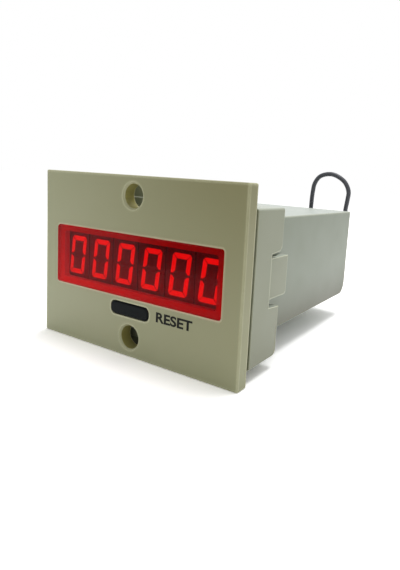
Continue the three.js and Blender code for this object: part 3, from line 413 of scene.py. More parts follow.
bm = bmesh.new()
bmesh.ops.create_circle(bm, cap_ends=True, segments=64, radius=FLOOR_RADIUS)
floor = mesh_object("floor", bm)
paper, sheet, _ = new_finish("white paper")
sheet.nodes.clear()
lit, shown = (node(sheet, "BsdfDiffuse", [("Color", (level, level, level, 1))])
              for level in (PAPER_LEVEL, PAPER_SHOWN))
shown_apart(sheet, lit, shown, "OutputMaterial")
floor.data.materials.append(paper)
bpy.context.scene.view_settings.view_transform = "Standard"
print("floor laid")

# %% [markdown]
# ## Dark card
# A photographer holds dark cards beside a shiny object to shape what it reflects. One card with
# faded edges stands in front of the counter, out of the picture. Only reflections see it, and it
# darkens the upper right part of what the window mirrors.

# %% Stand the card up
CARD_LEFT, CARD_RIGHT, CARD_BOTTOM, CARD_TOP, CARD_PLACE = -94, -22, -25, 30, -100
CARD_FADE_ACROSS, CARD_FADE_UP = 28, 27

bm = bmesh.new()
bm.faces.new([bm.verts.new(at(x, CARD_PLACE, z)) for x, z in (
    (CARD_LEFT, CARD_BOTTOM), (CARD_RIGHT, CARD_BOTTOM), (CARD_RIGHT, CARD_TOP),
    (CARD_LEFT, CARD_TOP))])
card = mesh_object("dark_card", bm)
for ray in ("camera", "diffuse", "transmission", "shadow", "volume_scatter"):
    setattr(card, "visible_" + ray, False)
faded_card, card_tree, _ = new_finish("faded card")
card_tree.nodes.clear()
spot = split(card_tree, on_piece(card_tree))
left_low = at(CARD_LEFT, 0, CARD_BOTTOM)
fades = [ranged(card_tree, spot[axis], start, start + width * MM, 1.0, 0.0, curve="SMOOTHSTEP")
         for axis, start, width in (("X", left_low.x, CARD_FADE_ACROSS),
                                    ("Z", left_low.z, CARD_FADE_UP))]
glow_of_card = node(card_tree, "Emission", [("Strength", maths(card_tree, "MAXIMUM", *fades))])
card_tree.links.new(glow_of_card.outputs[0], node(card_tree, "OutputMaterial").inputs["Surface"])
card.data.materials.append(faded_card)
print("card of", CARD_RIGHT - CARD_LEFT, "by", CARD_TOP - CARD_BOTTOM, "mm")

# %% [markdown]
# ## Shared effects
# A moulded plastic is never one flat colour. Its tone drifts a little, dust settles on what faces
# up, and the mould leaves a fine grain. Its edges turn paler: partly scuffing where hands touch
# them, partly a painted highlight where a rounded edge catches the light. Light also falls off
# over a large piece, and that is painted into the colour too: one painted fade runs across the
# bezel and darkens it towards its top right, and another paints shade on the lower sides of a box
# and light on its top. Each effect is a node group with named inputs, so that every finish can
# place it with its own values.

# %% Start a node group, and let a tone drift
GREY, DARK_GREY, PALE_GREY = (0.5, 0.5, 0.5, 1), (0.4, 0.4, 0.4, 1), (0.6, 0.6, 0.6, 1)


def new_group(name, inputs, outputs):
    """An empty node group, with the sockets of its given values and of its results."""
    group = bpy.data.node_groups.new(name, "ShaderNodeTree")
    for way, titles in (("INPUT", inputs), ("OUTPUT", outputs)):
        for title in titles:
            kind = "NodeSocketColor" if title.endswith("Colour") else "NodeSocketFloat"
            made = group.interface.new_socket(title, in_out=way, socket_type=kind)
            if way == "INPUT":
                made.default_value = inputs[title]
    given, out = group.nodes.new("NodeGroupInput"), group.nodes.new("NodeGroupOutput")
    return group, given.outputs, out.inputs


def tone_drift():
    group, given, out = new_group(
        "tone drift", {"Colour": GREY, "Other Colour": DARK_GREY, "Scale": 40.0, "Share": 0.5},
        ["Colour"])
    share = ranged(group, noise(group, given["Scale"], 3.0), 0.35, 0.68, 0.0, given["Share"])
    blend = blended(group, share, given["Colour"], given["Other Colour"])
    feed(group, out, ("Colour", blend))
    return group


print("grey stands in for the colours of each finish")

# %% Leave the grain of the mould, and pale the edges with scuffing and a painted highlight
def moulded_grain():
    group, given, out = new_group(
        "moulded grain", {"Scale": 2500.0, "Pits": 0.3}, ["Height", "Gloss Change"])
    pits = node(group, "TexVoronoi", [("Vector", on_piece(group)), ("Scale", given["Scale"])])
    pitted = maths(group, "MULTIPLY", pits.outputs["Distance"], given["Pits"])
    total = maths(group, "ADD", noise(group, given["Scale"], 2.0), pitted)
    change = ranged(group, noise(group, 90.0, 4.0), 0.0, 1.0, -0.5, 0.5)
    feed(group, out, ("Height", total), ("Gloss Change", change))
    return group


# Paler edges: partly scuffing, partly a painted highlight along the rounded edges.
def rubbed_edges():
    group, given, out = new_group(
        "scuffed and highlit edges", {"Reach": 0.0004, "Patchiness": 0.5}, ["Mask"])
    eased = node(group, "Bevel", [("Radius", given["Reach"])], samples=4).outputs[0]
    agree = node(group, "VectorMath", [(0, eased), (1, facing(group))], operation="DOT_PRODUCT")
    edge = ranged(group, agree.outputs["Value"], 0.995, 0.85)
    least = maths(group, "SUBTRACT", 1.0, given["Patchiness"])
    hold = ranged(group, noise(group, 220.0, 4.0), 0.35, 0.65, least)
    feed(group, out, ("Mask", maths(group, "MULTIPLY", edge, hold)))
    return group


print("grain and edges ready")

# %% Let dust settle and draw the metal's lines
def settled_dust():
    group, given, out = new_group("settled dust", {"Amount": 0.1}, ["Mask"])
    upward = ranged(group, split(group, facing(group))["Z"], 0.5, 1.0)
    thick = ranged(group, noise(group, 700.0, 6.0), 0.4, 0.7, 0.0, given["Amount"])
    feed(group, out, ("Mask", maths(group, "MULTIPLY", upward, thick)))
    return group


def drawn_lines():
    group, given, out = new_group("drawn lines", {"Scale": 900.0}, ["Height", "Tone"])
    stretch = node(group, "Mapping", [("Vector", on_piece(group)), ("Scale", (0.06, 1.0, 1.0))])
    lines = noise(group, given["Scale"], 3.0, stretch.outputs[0])
    feed(group, out, ("Height", lines), ("Tone", ranged(group, lines, 0.0, 1.0, -0.5, 0.5)))
    return group


print("dust and drawn lines ready")

# %% Paint the fall-off of light over a large piece
def level_above(group, reach):
    """How far above the bezel's middle a point lies, as a share of a reach."""
    height = maths(group, "SUBTRACT", split(group, on_piece(group))["Z"], bezel_middle)
    return maths(group, "DIVIDE", height, reach)


# Painted light fall-off: the colour goes to the far colour upward and across to the right.
def slow_fade():
    group, given, out = new_group(
        "painted falloff", {"Colour": GREY, "Far Colour": DARK_GREY, "Reach": 0.0085, "Upward": 0.6,
                      "Across": 0.1, "Far End": 0.033}, ["Colour"])
    rise = ranged(group, level_above(group, given["Reach"]), -1.0, 1.0)
    across = ranged(group, split(group, on_piece(group))["X"], -0.033, given["Far End"])
    left = maths(group, "SUBTRACT", 1.0, given["Upward"])
    rest = maths(group, "SUBTRACT", left, given["Across"])
    share = maths(group, "MULTIPLY", rise, given["Upward"])
    share = maths(group, "MULTIPLY_ADD", across, given["Across"], share)
    share = maths(group, "MULTIPLY_ADD", maths(group, "MULTIPLY", rise, across), rest, share)
    feed(group, out, ("Colour", blended(group, share, given["Colour"], given["Far Colour"])))
    return group


# Painted shade on the lower sides of a box, and painted light on its top.
def shaded_sides():
    group, given, out = new_group(
        "shaded sides", {"Colour": GREY, "Edge Colour": DARK_GREY, "Top Colour": PALE_GREY,
                         "Reach": 0.0165}, ["Colour"])
    below = maths(group, "MULTIPLY", level_above(group, given["Reach"]), -1.0, clamp=True)
    up = split(group, facing(group))["Z"]
    side = maths(group, "SUBTRACT", 1.0, maths(group, "MULTIPLY", up, up))
    share = maths(group, "MULTIPLY", maths(group, "MULTIPLY", below, below), side)
    blend = blended(group, share, given["Colour"], given["Edge Colour"])
    upward = maths(group, "MULTIPLY", up, 1.0, clamp=True)
    feed(group, out, ("Colour", blended(group, upward, blend, given["Top Colour"])))
    return group


print("fades ready")

# %% Build the seven groups
EFFECTS = {make.__name__: make() for make in
           (tone_drift, moulded_grain, rubbed_edges, settled_dust, drawn_lines, slow_fade,
            shaded_sides)}
print("groups:", ", ".join(sorted(EFFECTS)))

# %% [markdown]
# ## Finishes
# Most pieces here are moulded plastic, and they differ in colour, gloss and grain only. One
# recipe therefore makes them all: the tone drifts between two colours, the edges go to a paler one
# that is partly scuffing and partly a painted highlight, dust adds a dull veil, and grain drives a
# small bump. Some plastics also get painted light and shade that fall off over the piece. Metals
# share a second recipe with drawn lines in place of the grain.

# %% Turn picture colours into linear ones and place an effect
def colour(red, green, blue):
    """A colour as a picture editor gives it, in the linear values that the nodes take."""
    def linear(value):
        share = value / 255
        return share / 12.92 if share <= 0.04045 else ((share + 0.055) / 1.055) ** 2.4
    return (linear(red), linear(green), linear(blue), 1.0)


DUST = colour(190, 188, 178)


def place_effect(tree, effect, **values):
    """The results of one of the shared groups, placed in a material with its own values."""
    made = tree.nodes.new("ShaderNodeGroup")
    made.node_tree = EFFECTS[effect]
    for name, value in values.items():
        socket = made.inputs[name.replace("_", " ")]
        if hasattr(value, "is_linked"):
            tree.links.new(value, socket)
        else:
            socket.default_value = value
    return made.outputs


print("dust is", [round(value, 3) for value in DUST[:3]])

# %% Write the recipes for plastic and metal
DRIFT_SCALE, GRAIN_SCALE, PITS, GRAIN_STRENGTH, GLOSS_SWING = 45.0, 2500.0, 0.4, 0.35, 0.16
METAL_DRIFT_SCALE, METAL_DRIFT, LINE_STRENGTH, LINE_DEPTH, LINE_SWING = 160.0, 0.7, 0.25, 0.01, 0.25


def plastic(name, base, other, scuff_and_highlight_colour, roughness, grain_depth=0.02, dust=0.08, drift=0.6,
            scuff_and_highlight=0.5, fade=None, fade_values=(), edge_reach=0.4, patches=0.5):
    """A moulded plastic, whose colour can also carry painted light and shade that fall off from one
    part of the piece to another.
    """
    material, tree, shader = new_finish(name)
    base, other, scuff_and_highlight_colour = (colour(*given) for given in (base, other, scuff_and_highlight_colour))
    tone = place_effect(tree, "tone_drift", Colour=base, Other_Colour=other, Scale=DRIFT_SCALE,
                        Share=drift)["Colour"]
    # An optional group paints light and shade that fall off over the piece.
    if fade is not None:
        tone = place_effect(tree, fade, Colour=tone, **dict(fade_values))["Colour"]
    # Paler edges: partly scuffing, partly a painted highlight.
    edge = place_effect(tree, "rubbed_edges", Reach=edge_reach * MM, Patchiness=patches)["Mask"]
    scuffed_and_highlit = blended(tree, maths(tree, "MULTIPLY", edge, scuff_and_highlight), tone, scuff_and_highlight_colour)
    veil = place_effect(tree, "settled_dust", Amount=dust)["Mask"]
    grain = place_effect(tree, "moulded_grain", Scale=GRAIN_SCALE, Pits=PITS)
    gloss = maths(tree, "MULTIPLY_ADD", grain["Gloss Change"], GLOSS_SWING, roughness)
    bump = bumped(tree, grain["Height"], GRAIN_STRENGTH, grain_depth)
    feed(tree, shader.inputs, ("Base Color", blended(tree, veil, scuffed_and_highlit, DUST)),
         ("Roughness", gloss), ("Normal", bump))
    return material


def metal(name, base, dull, roughness, line_scale=900.0):
    """A drawn or plated metal."""
    material, tree, shader = new_finish(name)
    base, dull = colour(*base), colour(*dull)
    shader.inputs["Metallic"].default_value = 1.0
    tone = place_effect(tree, "tone_drift", Colour=base, Other_Colour=dull,
                        Scale=METAL_DRIFT_SCALE, Share=METAL_DRIFT)
    lines = place_effect(tree, "drawn_lines", Scale=line_scale)
    gloss = maths(tree, "MULTIPLY_ADD", lines["Tone"], LINE_SWING, roughness)
    bump = bumped(tree, lines["Height"], LINE_STRENGTH, LINE_DEPTH)
    feed(tree, shader.inputs, ("Base Color", tone["Colour"]), ("Roughness", gloss),
         ("Normal", bump))
    return material


print("recipes ready")

# %% Mix the finishes
# The ivory, housing and collar plastics carry painted light: their pale edges are painted highlights
# as well as scuffing, the bezel darkens towards its top right, and the boxes get painted shade low
# on their sides and painted light on top.
ivory_plastic = plastic(
    "ivory plastic", (158, 160, 127), (155, 158, 123), (206, 205, 170), 0.45, drift=0.4,
    scuff_and_highlight=1.0, edge_reach=1.1, patches=0.2, fade="slow_fade",
    fade_values={"Far_Colour": colour(124, 121, 82), "Reach": 25 * MM, "Upward": 0.3,
                 "Across": 0.35})
housing_plastic = plastic(
    "housing plastic", (126, 134, 117), (122, 130, 112), (192, 194, 166), 0.42,
    scuff_and_highlight=1.0, edge_reach=0.8, patches=0.2, fade="shaded_sides",
    fade_values={"Edge_Colour": colour(84, 84, 62), "Top_Colour": colour(172, 179, 171)})
collar_plastic = plastic(
    "collar plastic", (135, 139, 117), (131, 135, 112), (216, 218, 188), 0.42,
    scuff_and_highlight=1.0, edge_reach=0.5, patches=0.2, fade="shaded_sides",
    fade_values={"Edge_Colour": colour(120, 122, 100), "Top_Colour": colour(172, 178, 166),
                 "Reach": 22 * MM})
black_plastic = plastic("black plastic", (24, 28, 31), (20, 23, 25), (60, 62, 64), 0.4, dust=0.03)
button_plastic = plastic("button plastic", (10, 15, 17), (8, 12, 14), (34, 38, 40), 0.6, dust=0.01,
                         scuff_and_highlight=0.3)
lead_jacket = plastic("lead jacket", (62, 64, 70), (52, 54, 60), (80, 82, 86), 0.5, scuff_and_highlight=0.1,
                      dust=0.03)
white_plastic = plastic("white plastic", (214, 212, 200), (204, 201, 188), (228, 226, 216), 0.45)
chip_resin = plastic("chip resin", (34, 34, 36), (28, 28, 30), (60, 60, 62), 0.6, grain_depth=0.05)
board_green = plastic("board green", (30, 92, 52), (24, 74, 44), (120, 128, 84), 0.35)
blue_sleeve = plastic("blue sleeve", (30, 62, 118), (24, 52, 104), (70, 100, 150), 0.3)
green_sleeve = plastic("green sleeve", (66, 130, 64), (56, 116, 56), (110, 160, 104), 0.3)
steel = metal("steel", (184, 184, 182), (150, 150, 148), 0.32)
steel_sheets = metal("steel sheets", (126, 126, 128), (104, 102, 100), 0.4)
tinned_metal = metal("tinned metal", (206, 206, 200), (178, 178, 172), 0.28)
copper_winding = metal("copper winding", (178, 98, 56), (146, 76, 42), 0.4, line_scale=2200.0)
button_plastic.node_tree.nodes["Principled BSDF"].inputs["Specular IOR Level"].default_value = 0.1
print("finishes:", len(bpy.data.materials))

# %% [markdown]
# ## Lead
# The counter is wired with a thin two-core lead. It leaves the gland in the rear wall, climbs
# behind the housing in a stiff little arch, and the length that is not needed is wound up and
# tied. A lead is one long round body that bends, so it is one curve with a round bevel: the same
# line gives its route and its real length.

# %% Choose the lead's route
LEAD_DIAMETER = 1.9
LEAD_ROUTE = [
    (25.5, 91.5, 4), (25.5, 92.7, 4), (25.5, 93.9, 4.05), (25.5, 96.9, 5.3), (25.6, 98.3, 8.6),
    (25.4, 98.4, 12), (25.3, 98.3, 16), (25.8, 98.2, 20), (26.0, 98.1, 23.8), (24.3, 98, 27.3),
    (21.8, 98, 29.3), (18.5, 98, 30.6), (15.3, 98, 30.5), (12.4, 98.1, 29.3), (10.4, 98.2, 26.4),
    (9.7, 98.3, 22.4), (9.4, 98.4, 15), (9.3, 98.4, 5), (9.2, 98.3, -6), (8.6, 98.1, -14.15),
    (6.2, 97.9, -19.95), (1.8, 97.84, -22.75), (-3, 97.84, -23.25), (-5.4, 97.84, -23.25),
    (-7.8, 97.8425, -23.25),
]
COIL_CENTRE = (-10, 114)
COIL_FLOOR = -23.25
TURNS_PER_LAYER, LAYERS, TURN_SPACING = 2.75, 4, 2.66
OUTER_RADIUS = 16.1575
CLIMB_TURNS, TAIL_TURNS, TAIL_RADIUS, TAIL_START = 0.5, 0.5, 11.5, 0.2
STEPS_PER_TURN = 36


print("the free stretch has", len(LEAD_ROUTE), "points, and the coil", LAYERS, "layers")

# %% Draw a smooth line through the free stretch
def through(points, steps=8):
    """A smooth line through points, whose speed follows the distance between them."""
    given = [Vector(point) for point in points]
    ends = [2 * given[0] - given[1]] + given + [2 * given[-1] - given[-2]]
    line = []
    for p0, p1, p2, p3 in zip(ends, ends[1:], ends[2:], ends[3:]):
        d0, d1, d2 = ((a - b).length ** 0.5 for a, b in ((p1, p0), (p2, p1), (p3, p2)))
        leave = d1 * ((p1 - p0) / d0 - (p2 - p0) / (d0 + d1) + (p2 - p1) / d1)
        arrive = d1 * ((p2 - p1) / d1 - (p3 - p1) / (d1 + d2) + (p3 - p2) / d2)
        for step in range(steps):
            t = step / steps
            line.append(p1 * (2 * t ** 3 - 3 * t ** 2 + 1) + leave * (t ** 3 - 2 * t ** 2 + t)
                        + p2 * (3 * t ** 2 - 2 * t ** 3) + arrive * (t ** 3 - t ** 2))
    line.append(given[-1])
    return line


free_stretch = through(LEAD_ROUTE)
print("the free stretch is drawn with", len(free_stretch), "points")

# %% Wind the coil and join the lead's line
def coil_point(turn):
    """A point of the coil: layers that spiral in and out in turn and climb where they reverse."""
    piled = TURNS_PER_LAYER * LAYERS
    wound = min(turn, piled)
    layer = min(int(wound / TURNS_PER_LAYER), LAYERS - 1)
    within = wound - layer * TURNS_PER_LAYER
    inward = within if layer % 2 == 0 else TURNS_PER_LAYER - within
    radius = OUTER_RADIUS - inward * TURN_SPACING
    level = layer
    reversal = math.floor(turn / TURNS_PER_LAYER + 0.5)
    if reversal > 0:
        past = (turn - reversal * TURNS_PER_LAYER) / CLIMB_TURNS
        level = reversal - 0.5 + max(-0.5, min(0.5, past))
    if turn > piled:
        tail = ((turn - piled) / TAIL_TURNS - TAIL_START) / (1 - TAIL_START)
        tail = max(0.0, min(1.0, tail))
        radius -= (OUTER_RADIUS - TAIL_RADIUS) * tail * tail * (3 - 2 * tail)
    angle = -math.pi / 2 - turn * 2 * math.pi
    return Vector((COIL_CENTRE[0] + radius * math.cos(angle),
                   COIL_CENTRE[1] + radius * math.sin(angle),
                   COIL_FLOOR + level * TURN_SPACING))


coil_count = round((TURNS_PER_LAYER * LAYERS + TAIL_TURNS) * STEPS_PER_TURN)
coil_turns = [coil_point(step / STEPS_PER_TURN) for step in range(coil_count + 1)]
coil_end = coil_turns[-1] + Vector((LEAD_DIAMETER, 0, 0))
lead_line = free_stretch + coil_turns + [coil_end, coil_end + Vector((1.5, 0, 0))]
lead_places = [at(*point) for point in lead_line]

# %% Make the lead
SKIN_ROOM = 0.01

lead_data = bpy.data.curves.new("signal_lead_line", "CURVE")
lead_data.dimensions = "3D"
lead_data.bevel_depth = (LEAD_DIAMETER / 2 - SKIN_ROOM) * MM
lead_data.bevel_resolution = 4
lead_data.use_fill_caps = True
spline = lead_data.splines.new("POLY")
spline.points.add(len(lead_places) - 1)
for point, place in zip(spline.points, lead_places):
    point.co = (*place, 1)
lead = put("lead_cord", lead_data)
lead_data.materials.append(lead_jacket)
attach(lead, "counter")
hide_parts("signal_lead", "signal_lead_coil")
print("lead of", len(lead_places), "points")

# %% [markdown]
# ## Bezel
# The bezel is one moulding: a thick plate with soft front edges, a shallow seat for the window
# with a deep ledge behind it, a slot for the button and two screw holes. Rails and hooks behind
# it hold the housing. It starts as a filleted plate, the rails and hooks are joined on, and each
# opening is cut with its own tool. Cutting keeps every wall where the drawing says.

# %% Size the bezel
FIT = 0.3
TOOL_FRONT, TOOL_BACK = -1, 5
BEZEL_WIDTH, BEZEL_HEIGHT, BEZEL_THICKNESS = 72, 50, 3.9
WINDOW_WIDTH, WINDOW_HEIGHT, WINDOW_CORNER, WINDOW_RISE = 60, 17.25, 0.8, 0.33
SEAT_DEPTH, LEDGE_BACK, LEDGES_ACROSS, LEDGES_UP = 1, 2.7, 3.8, 3.3
DIGIT_RISE = 0.05
BUTTON_WIDTH, BUTTON_HEIGHT, BUTTON_CORNER, BUTTON_DROP = 13.8, 3.4, 1.35, -11.8
SCREW_HOLES, SCREW_DIAMETER, SCREW_MOUTH = (-19.5, 19.5), 6.6, 0.5
HOUSING_WIDTH, HOUSING_HEIGHT, HOUSING_RISE = 63, 32.65, -0.225
RAIL_INNER, RAIL_OUTER, RAIL_BACK, RAIL_END, RAIL_BREAK = 12.9, 14.2, 8.9, 26, 13
HOOK_PLACES, HOOK_WIDTH, HOOK_FRONT, HOOK_LOW, HOOK_HIGH = (-19.5, 19.5), 7, 6.9, 13.55, 15.4
RIM_FRONT, CORE_WIDTH, CORE_HEIGHT, POCKET_WIDTH, POCKET_HEIGHT = 3.4, 59.2, 28.4, 59.3, 15.6

print("bezel of", BEZEL_WIDTH, "by", BEZEL_HEIGHT, "by", BEZEL_THICKNESS, "mm")

# %% Mould the bezel with its rails and hooks
bezel = plate("bezel_plate", BEZEL_WIDTH, BEZEL_HEIGHT, 0.5, 0, BEZEL_THICKNESS,
              fillets=(0.4, 0.2))
rails = []
for left, right, side in ((-RAIL_END, RAIL_END, 1), (-RAIL_END, -RAIL_BREAK, -1),
                          (RAIL_BREAK, RAIL_END, -1)):
    corners = [(left, side * RAIL_INNER), (right, side * RAIL_INNER), (right, side * RAIL_OUTER),
               (left, side * RAIL_OUTER)]
    rails.append(prism("rail", corners, LEDGE_BACK, RAIL_BACK))
for side in (-1, 1):
    for x in HOOK_PLACES:
        wedge = [(HOOK_FRONT, side * HOOK_LOW), (RAIL_BACK, side * HOOK_LOW),
                 (RAIL_BACK, side * RAIL_OUTER), (HOOK_FRONT, side * HOOK_HIGH)]
        rails.append(slab("hook", wedge, x - HOOK_WIDTH / 2, x + HOOK_WIDTH / 2))
work(bezel, "UNION", *rails)
print("joined", len(rails), "rails and hooks")

# %% Cut the bezel's openings
rim = plate("rim", HOUSING_WIDTH + 2 * FIT, HOUSING_HEIGHT + 2 * FIT, 0.5, RIM_FRONT, TOOL_BACK,
            z=HOUSING_RISE)
work(rim, "DIFFERENCE", plate("core", CORE_WIDTH, CORE_HEIGHT, 0.3, RIM_FRONT - 1, TOOL_BACK + 1))
openings = [
    rim,
    plate("lens_seat", WINDOW_WIDTH + FIT, WINDOW_HEIGHT + FIT, WINDOW_CORNER, TOOL_FRONT,
          SEAT_DEPTH, z=WINDOW_RISE),
    plate("aperture", WINDOW_WIDTH - LEDGES_ACROSS, WINDOW_HEIGHT - LEDGES_UP, WINDOW_CORNER,
          TOOL_FRONT, TOOL_BACK, z=WINDOW_RISE),
    plate("digit_pocket", POCKET_WIDTH, POCKET_HEIGHT, 0.3, LEDGE_BACK, TOOL_BACK, z=DIGIT_RISE),
    plate("button_slot", BUTTON_WIDTH + 2 * FIT, BUTTON_HEIGHT + 2 * FIT, BUTTON_CORNER + FIT,
          TOOL_FRONT, TOOL_BACK, z=BUTTON_DROP),
]
for z in SCREW_HOLES:
    openings.append(rod("screw_hole", SCREW_DIAMETER, TOOL_FRONT, TOOL_BACK, 0, z))
    mouth = [(SCREW_DIAMETER / 2 + 3 * SCREW_MOUTH, TOOL_FRONT), (SCREW_DIAMETER / 2, SCREW_MOUTH)]
    openings.append(turned("screw_mouth", mouth, 0, z))
work(bezel, "DIFFERENCE", *openings)
ease_edges(bezel, 0.12)
seat(bezel, ivory_plastic, "ivory_plastic", "front_bezel")

# %% [markdown]
# ## Light that the ledge catches
# Seen through the window, the ledge and the walls of its seat are the brightest red of all,
# because they are pale plastic and the digits shine on them from close by. That light is painted
# in as a red glow of their own. The painted glow falls off towards the top right, and the walls are
# darker than the faces that look forward. Light also bounces inside the two screw holes, which
# makes their walls look yellower than the front; that is painted too, as a darker, yellower shaded
# copy of the ivory.

# %% Give the window's seat its painted glow, and the screw holes their painted shade
def glowing(name, base, glow, level, roughness, far=None):
    """A surface that also sends out an uneven light of its own, weaker at the far corner."""
    material, tree, shader = new_finish(name)
    base, glow = colour(*base), colour(*glow)
    shader.inputs["Roughness"].default_value = roughness
    shader.inputs["Emission Strength"].default_value = level
    tone = place_effect(tree, "tone_drift", Colour=base, Other_Colour=base, Scale=60.0, Share=0.5)
    dimmer = tuple(0.8 * value for value in glow[:3]) + (1.0,)
    shine = place_effect(tree, "tone_drift", Colour=glow, Other_Colour=dimmer, Scale=120.0,
                         Share=0.6)
    # Painted fall-off: the glow dims towards the top right.
    if far is not None:
        shine = place_effect(tree, "slow_fade", Colour=shine["Colour"],
                             Far_Colour=colour(*far), Reach=8.5 * MM, Upward=0.55, Across=0.6)
    grain = place_effect(tree, "moulded_grain", Scale=3000.0, Pits=0.2)
    feed(tree, shader.inputs, ("Base Color", tone["Colour"]), ("Emission Color", shine["Colour"]),
         ("Normal", bumped(tree, grain["Height"], 0.3, 0.01)))
    return material


# Painted glow: the ledge and the seat's walls send out red light that stands in for the digits'
# light.
lit_ledge = glowing("lit ledge", (96, 62, 62), (255, 14, 34), 0.45, 0.5, far=(62, 3, 7))
lit_wall = glowing("lit wall", (72, 44, 50), (255, 30, 96), 0.40, 0.5, far=(80, 6, 12))
# Painted shade: a darker, yellower copy of the ivory for the walls of the screw holes.
hole_shade_ivory = plastic("hole shade ivory", (150, 144, 84), (142, 136, 76), (206, 204, 168), 0.45, scuff_and_highlight=1.0,
                     edge_reach=0.5, patches=0.2)
for finish in (lit_ledge, lit_wall, hole_shade_ivory):
    bezel.data.materials.append(finish)
SEAT_HALF_WIDTH, SEAT_HALF_HEIGHT, SEAT_DEPTHS = 30.4, 9.2, (0.2, 2.75)
SCREW_REACH, SCREW_DEPTHS = 3.8, (0.3, 3.8)
LOOKS_FORWARD, IS_WALL = 0.7, 0.5
seat_faces = 0
# The seat's faces get the painted glow, and the walls of the screw holes the painted shade.
for face in bezel.data.polygons:
    x, y, z = (face.center - at(0, 0, 0)) / MM
    if (abs(x) < SEAT_HALF_WIDTH and abs(z - WINDOW_RISE) < SEAT_HALF_HEIGHT
            and SEAT_DEPTHS[0] < y < SEAT_DEPTHS[1]):
        face.material_index = 1 if abs(face.normal.y) > LOOKS_FORWARD else 2
        seat_faces += 1
    elif (abs(x) < SCREW_REACH and abs(abs(z) - SCREW_HOLES[1]) < SCREW_REACH
          and SCREW_DEPTHS[0] < y < SCREW_DEPTHS[1] and abs(face.normal.y) < IS_WALL):
        face.material_index = 3
print("the window's seat has", seat_faces, "faces")

# %% [markdown]
# ## Window
# A red acrylic lens fills the opening and stands a little proud of the bezel. Real tinted acrylic
# darkens what is behind it twice: the light that goes in, and what comes out again. A glass
# shader does that for the camera. Lamps don't reach through glass in a path tracer, so for shadow
# rays the glass is mixed with a clear tinted shader, and the digits behind it are lit as they
# would be.

# %% Make the window
WINDOW_PROUD, WINDOW_BACK = 0.5, 0.85
WINDOW_BENDING, WINDOW_HAZE = 1.14, 0.04


def tinted_window(name, through_colour, lamp_colour):
    """Clear tinted acrylic that also lets the lamps through."""
    material, tree, glass = new_finish(name)
    glass.inputs["Base Color"].default_value = through_colour
    glass.inputs["Transmission Weight"].default_value = 1.0
    glass.inputs["IOR"].default_value = WINDOW_BENDING
    glass.inputs["Roughness"].default_value = WINDOW_HAZE
    clear = node(tree, "BsdfTransparent", [("Color", lamp_colour)])
    path = node(tree, "LightPath")
    mix = node(tree, "MixShader", [(0, path.outputs["Is Shadow Ray"]), (1, glass.outputs[0]),
                                   (2, clear.outputs[0])])
    tree.links.new(mix.outputs[0], tree.nodes["Material Output"].inputs["Surface"])
    return material


red_acrylic = tinted_window("red acrylic", (0.90, 0.022, 0.030, 1), (0.95, 0.15, 0.17, 1))
lens = plate("window_pane", WINDOW_WIDTH, WINDOW_HEIGHT, WINDOW_CORNER, -WINDOW_PROUD, WINDOW_BACK,
             fillets=(0.2, 0.1), z=WINDOW_RISE)
smooth(lens)
seat(lens, red_acrylic, "red_window", "window_lens")

# %% [markdown]
# ## Digits
# A seven-segment digit is a grey cap with slots in its face, filled with cast resin that lights
# up bar by bar. Each digit shows a zero, so six bars shine, and the middle bar and the point stay
# dark. One digit is built, and the others are copies a pitch apart, as six equal modules are.

# %% Draw the segments of one digit
DIGIT_PITCH = 59 / 6
DIGIT_PLACES = [(number - 3.5) * DIGIT_PITCH for number in range(1, 7)]
SLANT = 0.115
HALF, TOP, CORNER = 6.39 / 2, 11.6 / 2, 1.1
BAR, SPACE, MID_SPACE = 1.5, 0.03, 0.3


def round_corner(start, end, steps=6):
    """Part of a digit's round upper left corner, between two angles in degrees."""
    points = []
    for step in range(steps + 1):
        angle = math.radians(start + (end - start) * step / steps)
        points.append((CORNER * (1 + math.cos(angle)) - HALF, CORNER * (math.sin(angle) - 1) + TOP))
    return points


def segment_outlines():
    """The seven bars upright, the middle one last, as pairs of across and up."""
    free = math.degrees(math.asin(SPACE / CORNER / math.sqrt(2)))
    left_end = round_corner(135 - free, 90)
    right_end = [(-u, v) for u, v in reversed(left_end)]
    bar = left_end + right_end + [(HALF - BAR - SPACE, TOP - BAR), (BAR + SPACE - HALF, TOP - BAR)]
    upright = round_corner(135 + free, 180) + [
        (-HALF, MID_SPACE), (BAR / 2 - HALF, MID_SPACE), (BAR - HALF, BAR / 2 + MID_SPACE),
        (BAR - HALF, TOP - BAR - SPACE)]
    near, far = HALF - BAR / 2 - MID_SPACE, HALF - BAR - MID_SPACE
    middle = [(-near, 0), (-far, -BAR / 2), (far, -BAR / 2), (near, 0), (far, BAR / 2),
              (-far, BAR / 2)]
    flips = [(bar, 1, 1), (bar, 1, -1), (upright, 1, 1), (upright, -1, 1), (upright, 1, -1),
             (upright, -1, -1), (middle, 1, 1)]
    return [[(u * x, v * z) for u, v in points] for points, x, z in flips]


print("a zero lights", len(segment_outlines()) - 1, "bars")

# %% Lean the bars and place the point
def leaned(points, shrink=0.0):
    """A bar made smaller on every side, leaned to the right and set at its height."""
    us, vs = [u for u, _ in points], [v for _, v in points]
    mid_u, mid_v = (max(us) + min(us)) / 2, (max(vs) + min(vs)) / 2
    grow_u = 1 - 2 * shrink / (max(us) - min(us))
    grow_v = 1 - 2 * shrink / (max(vs) - min(vs))
    made = [(mid_u + (u - mid_u) * grow_u, mid_v + (v - mid_v) * grow_v) for u, v in points]
    return [(u + v * SLANT, v + DIGIT_RISE) for u, v in made]


POINT_UP = 0.7 - TOP
POINT_PLACE = (HALF + BAR / 2 + POINT_UP * SLANT, POINT_UP + DIGIT_RISE)
print("a digit is", 2 * HALF, "by", 2 * TOP, "mm")

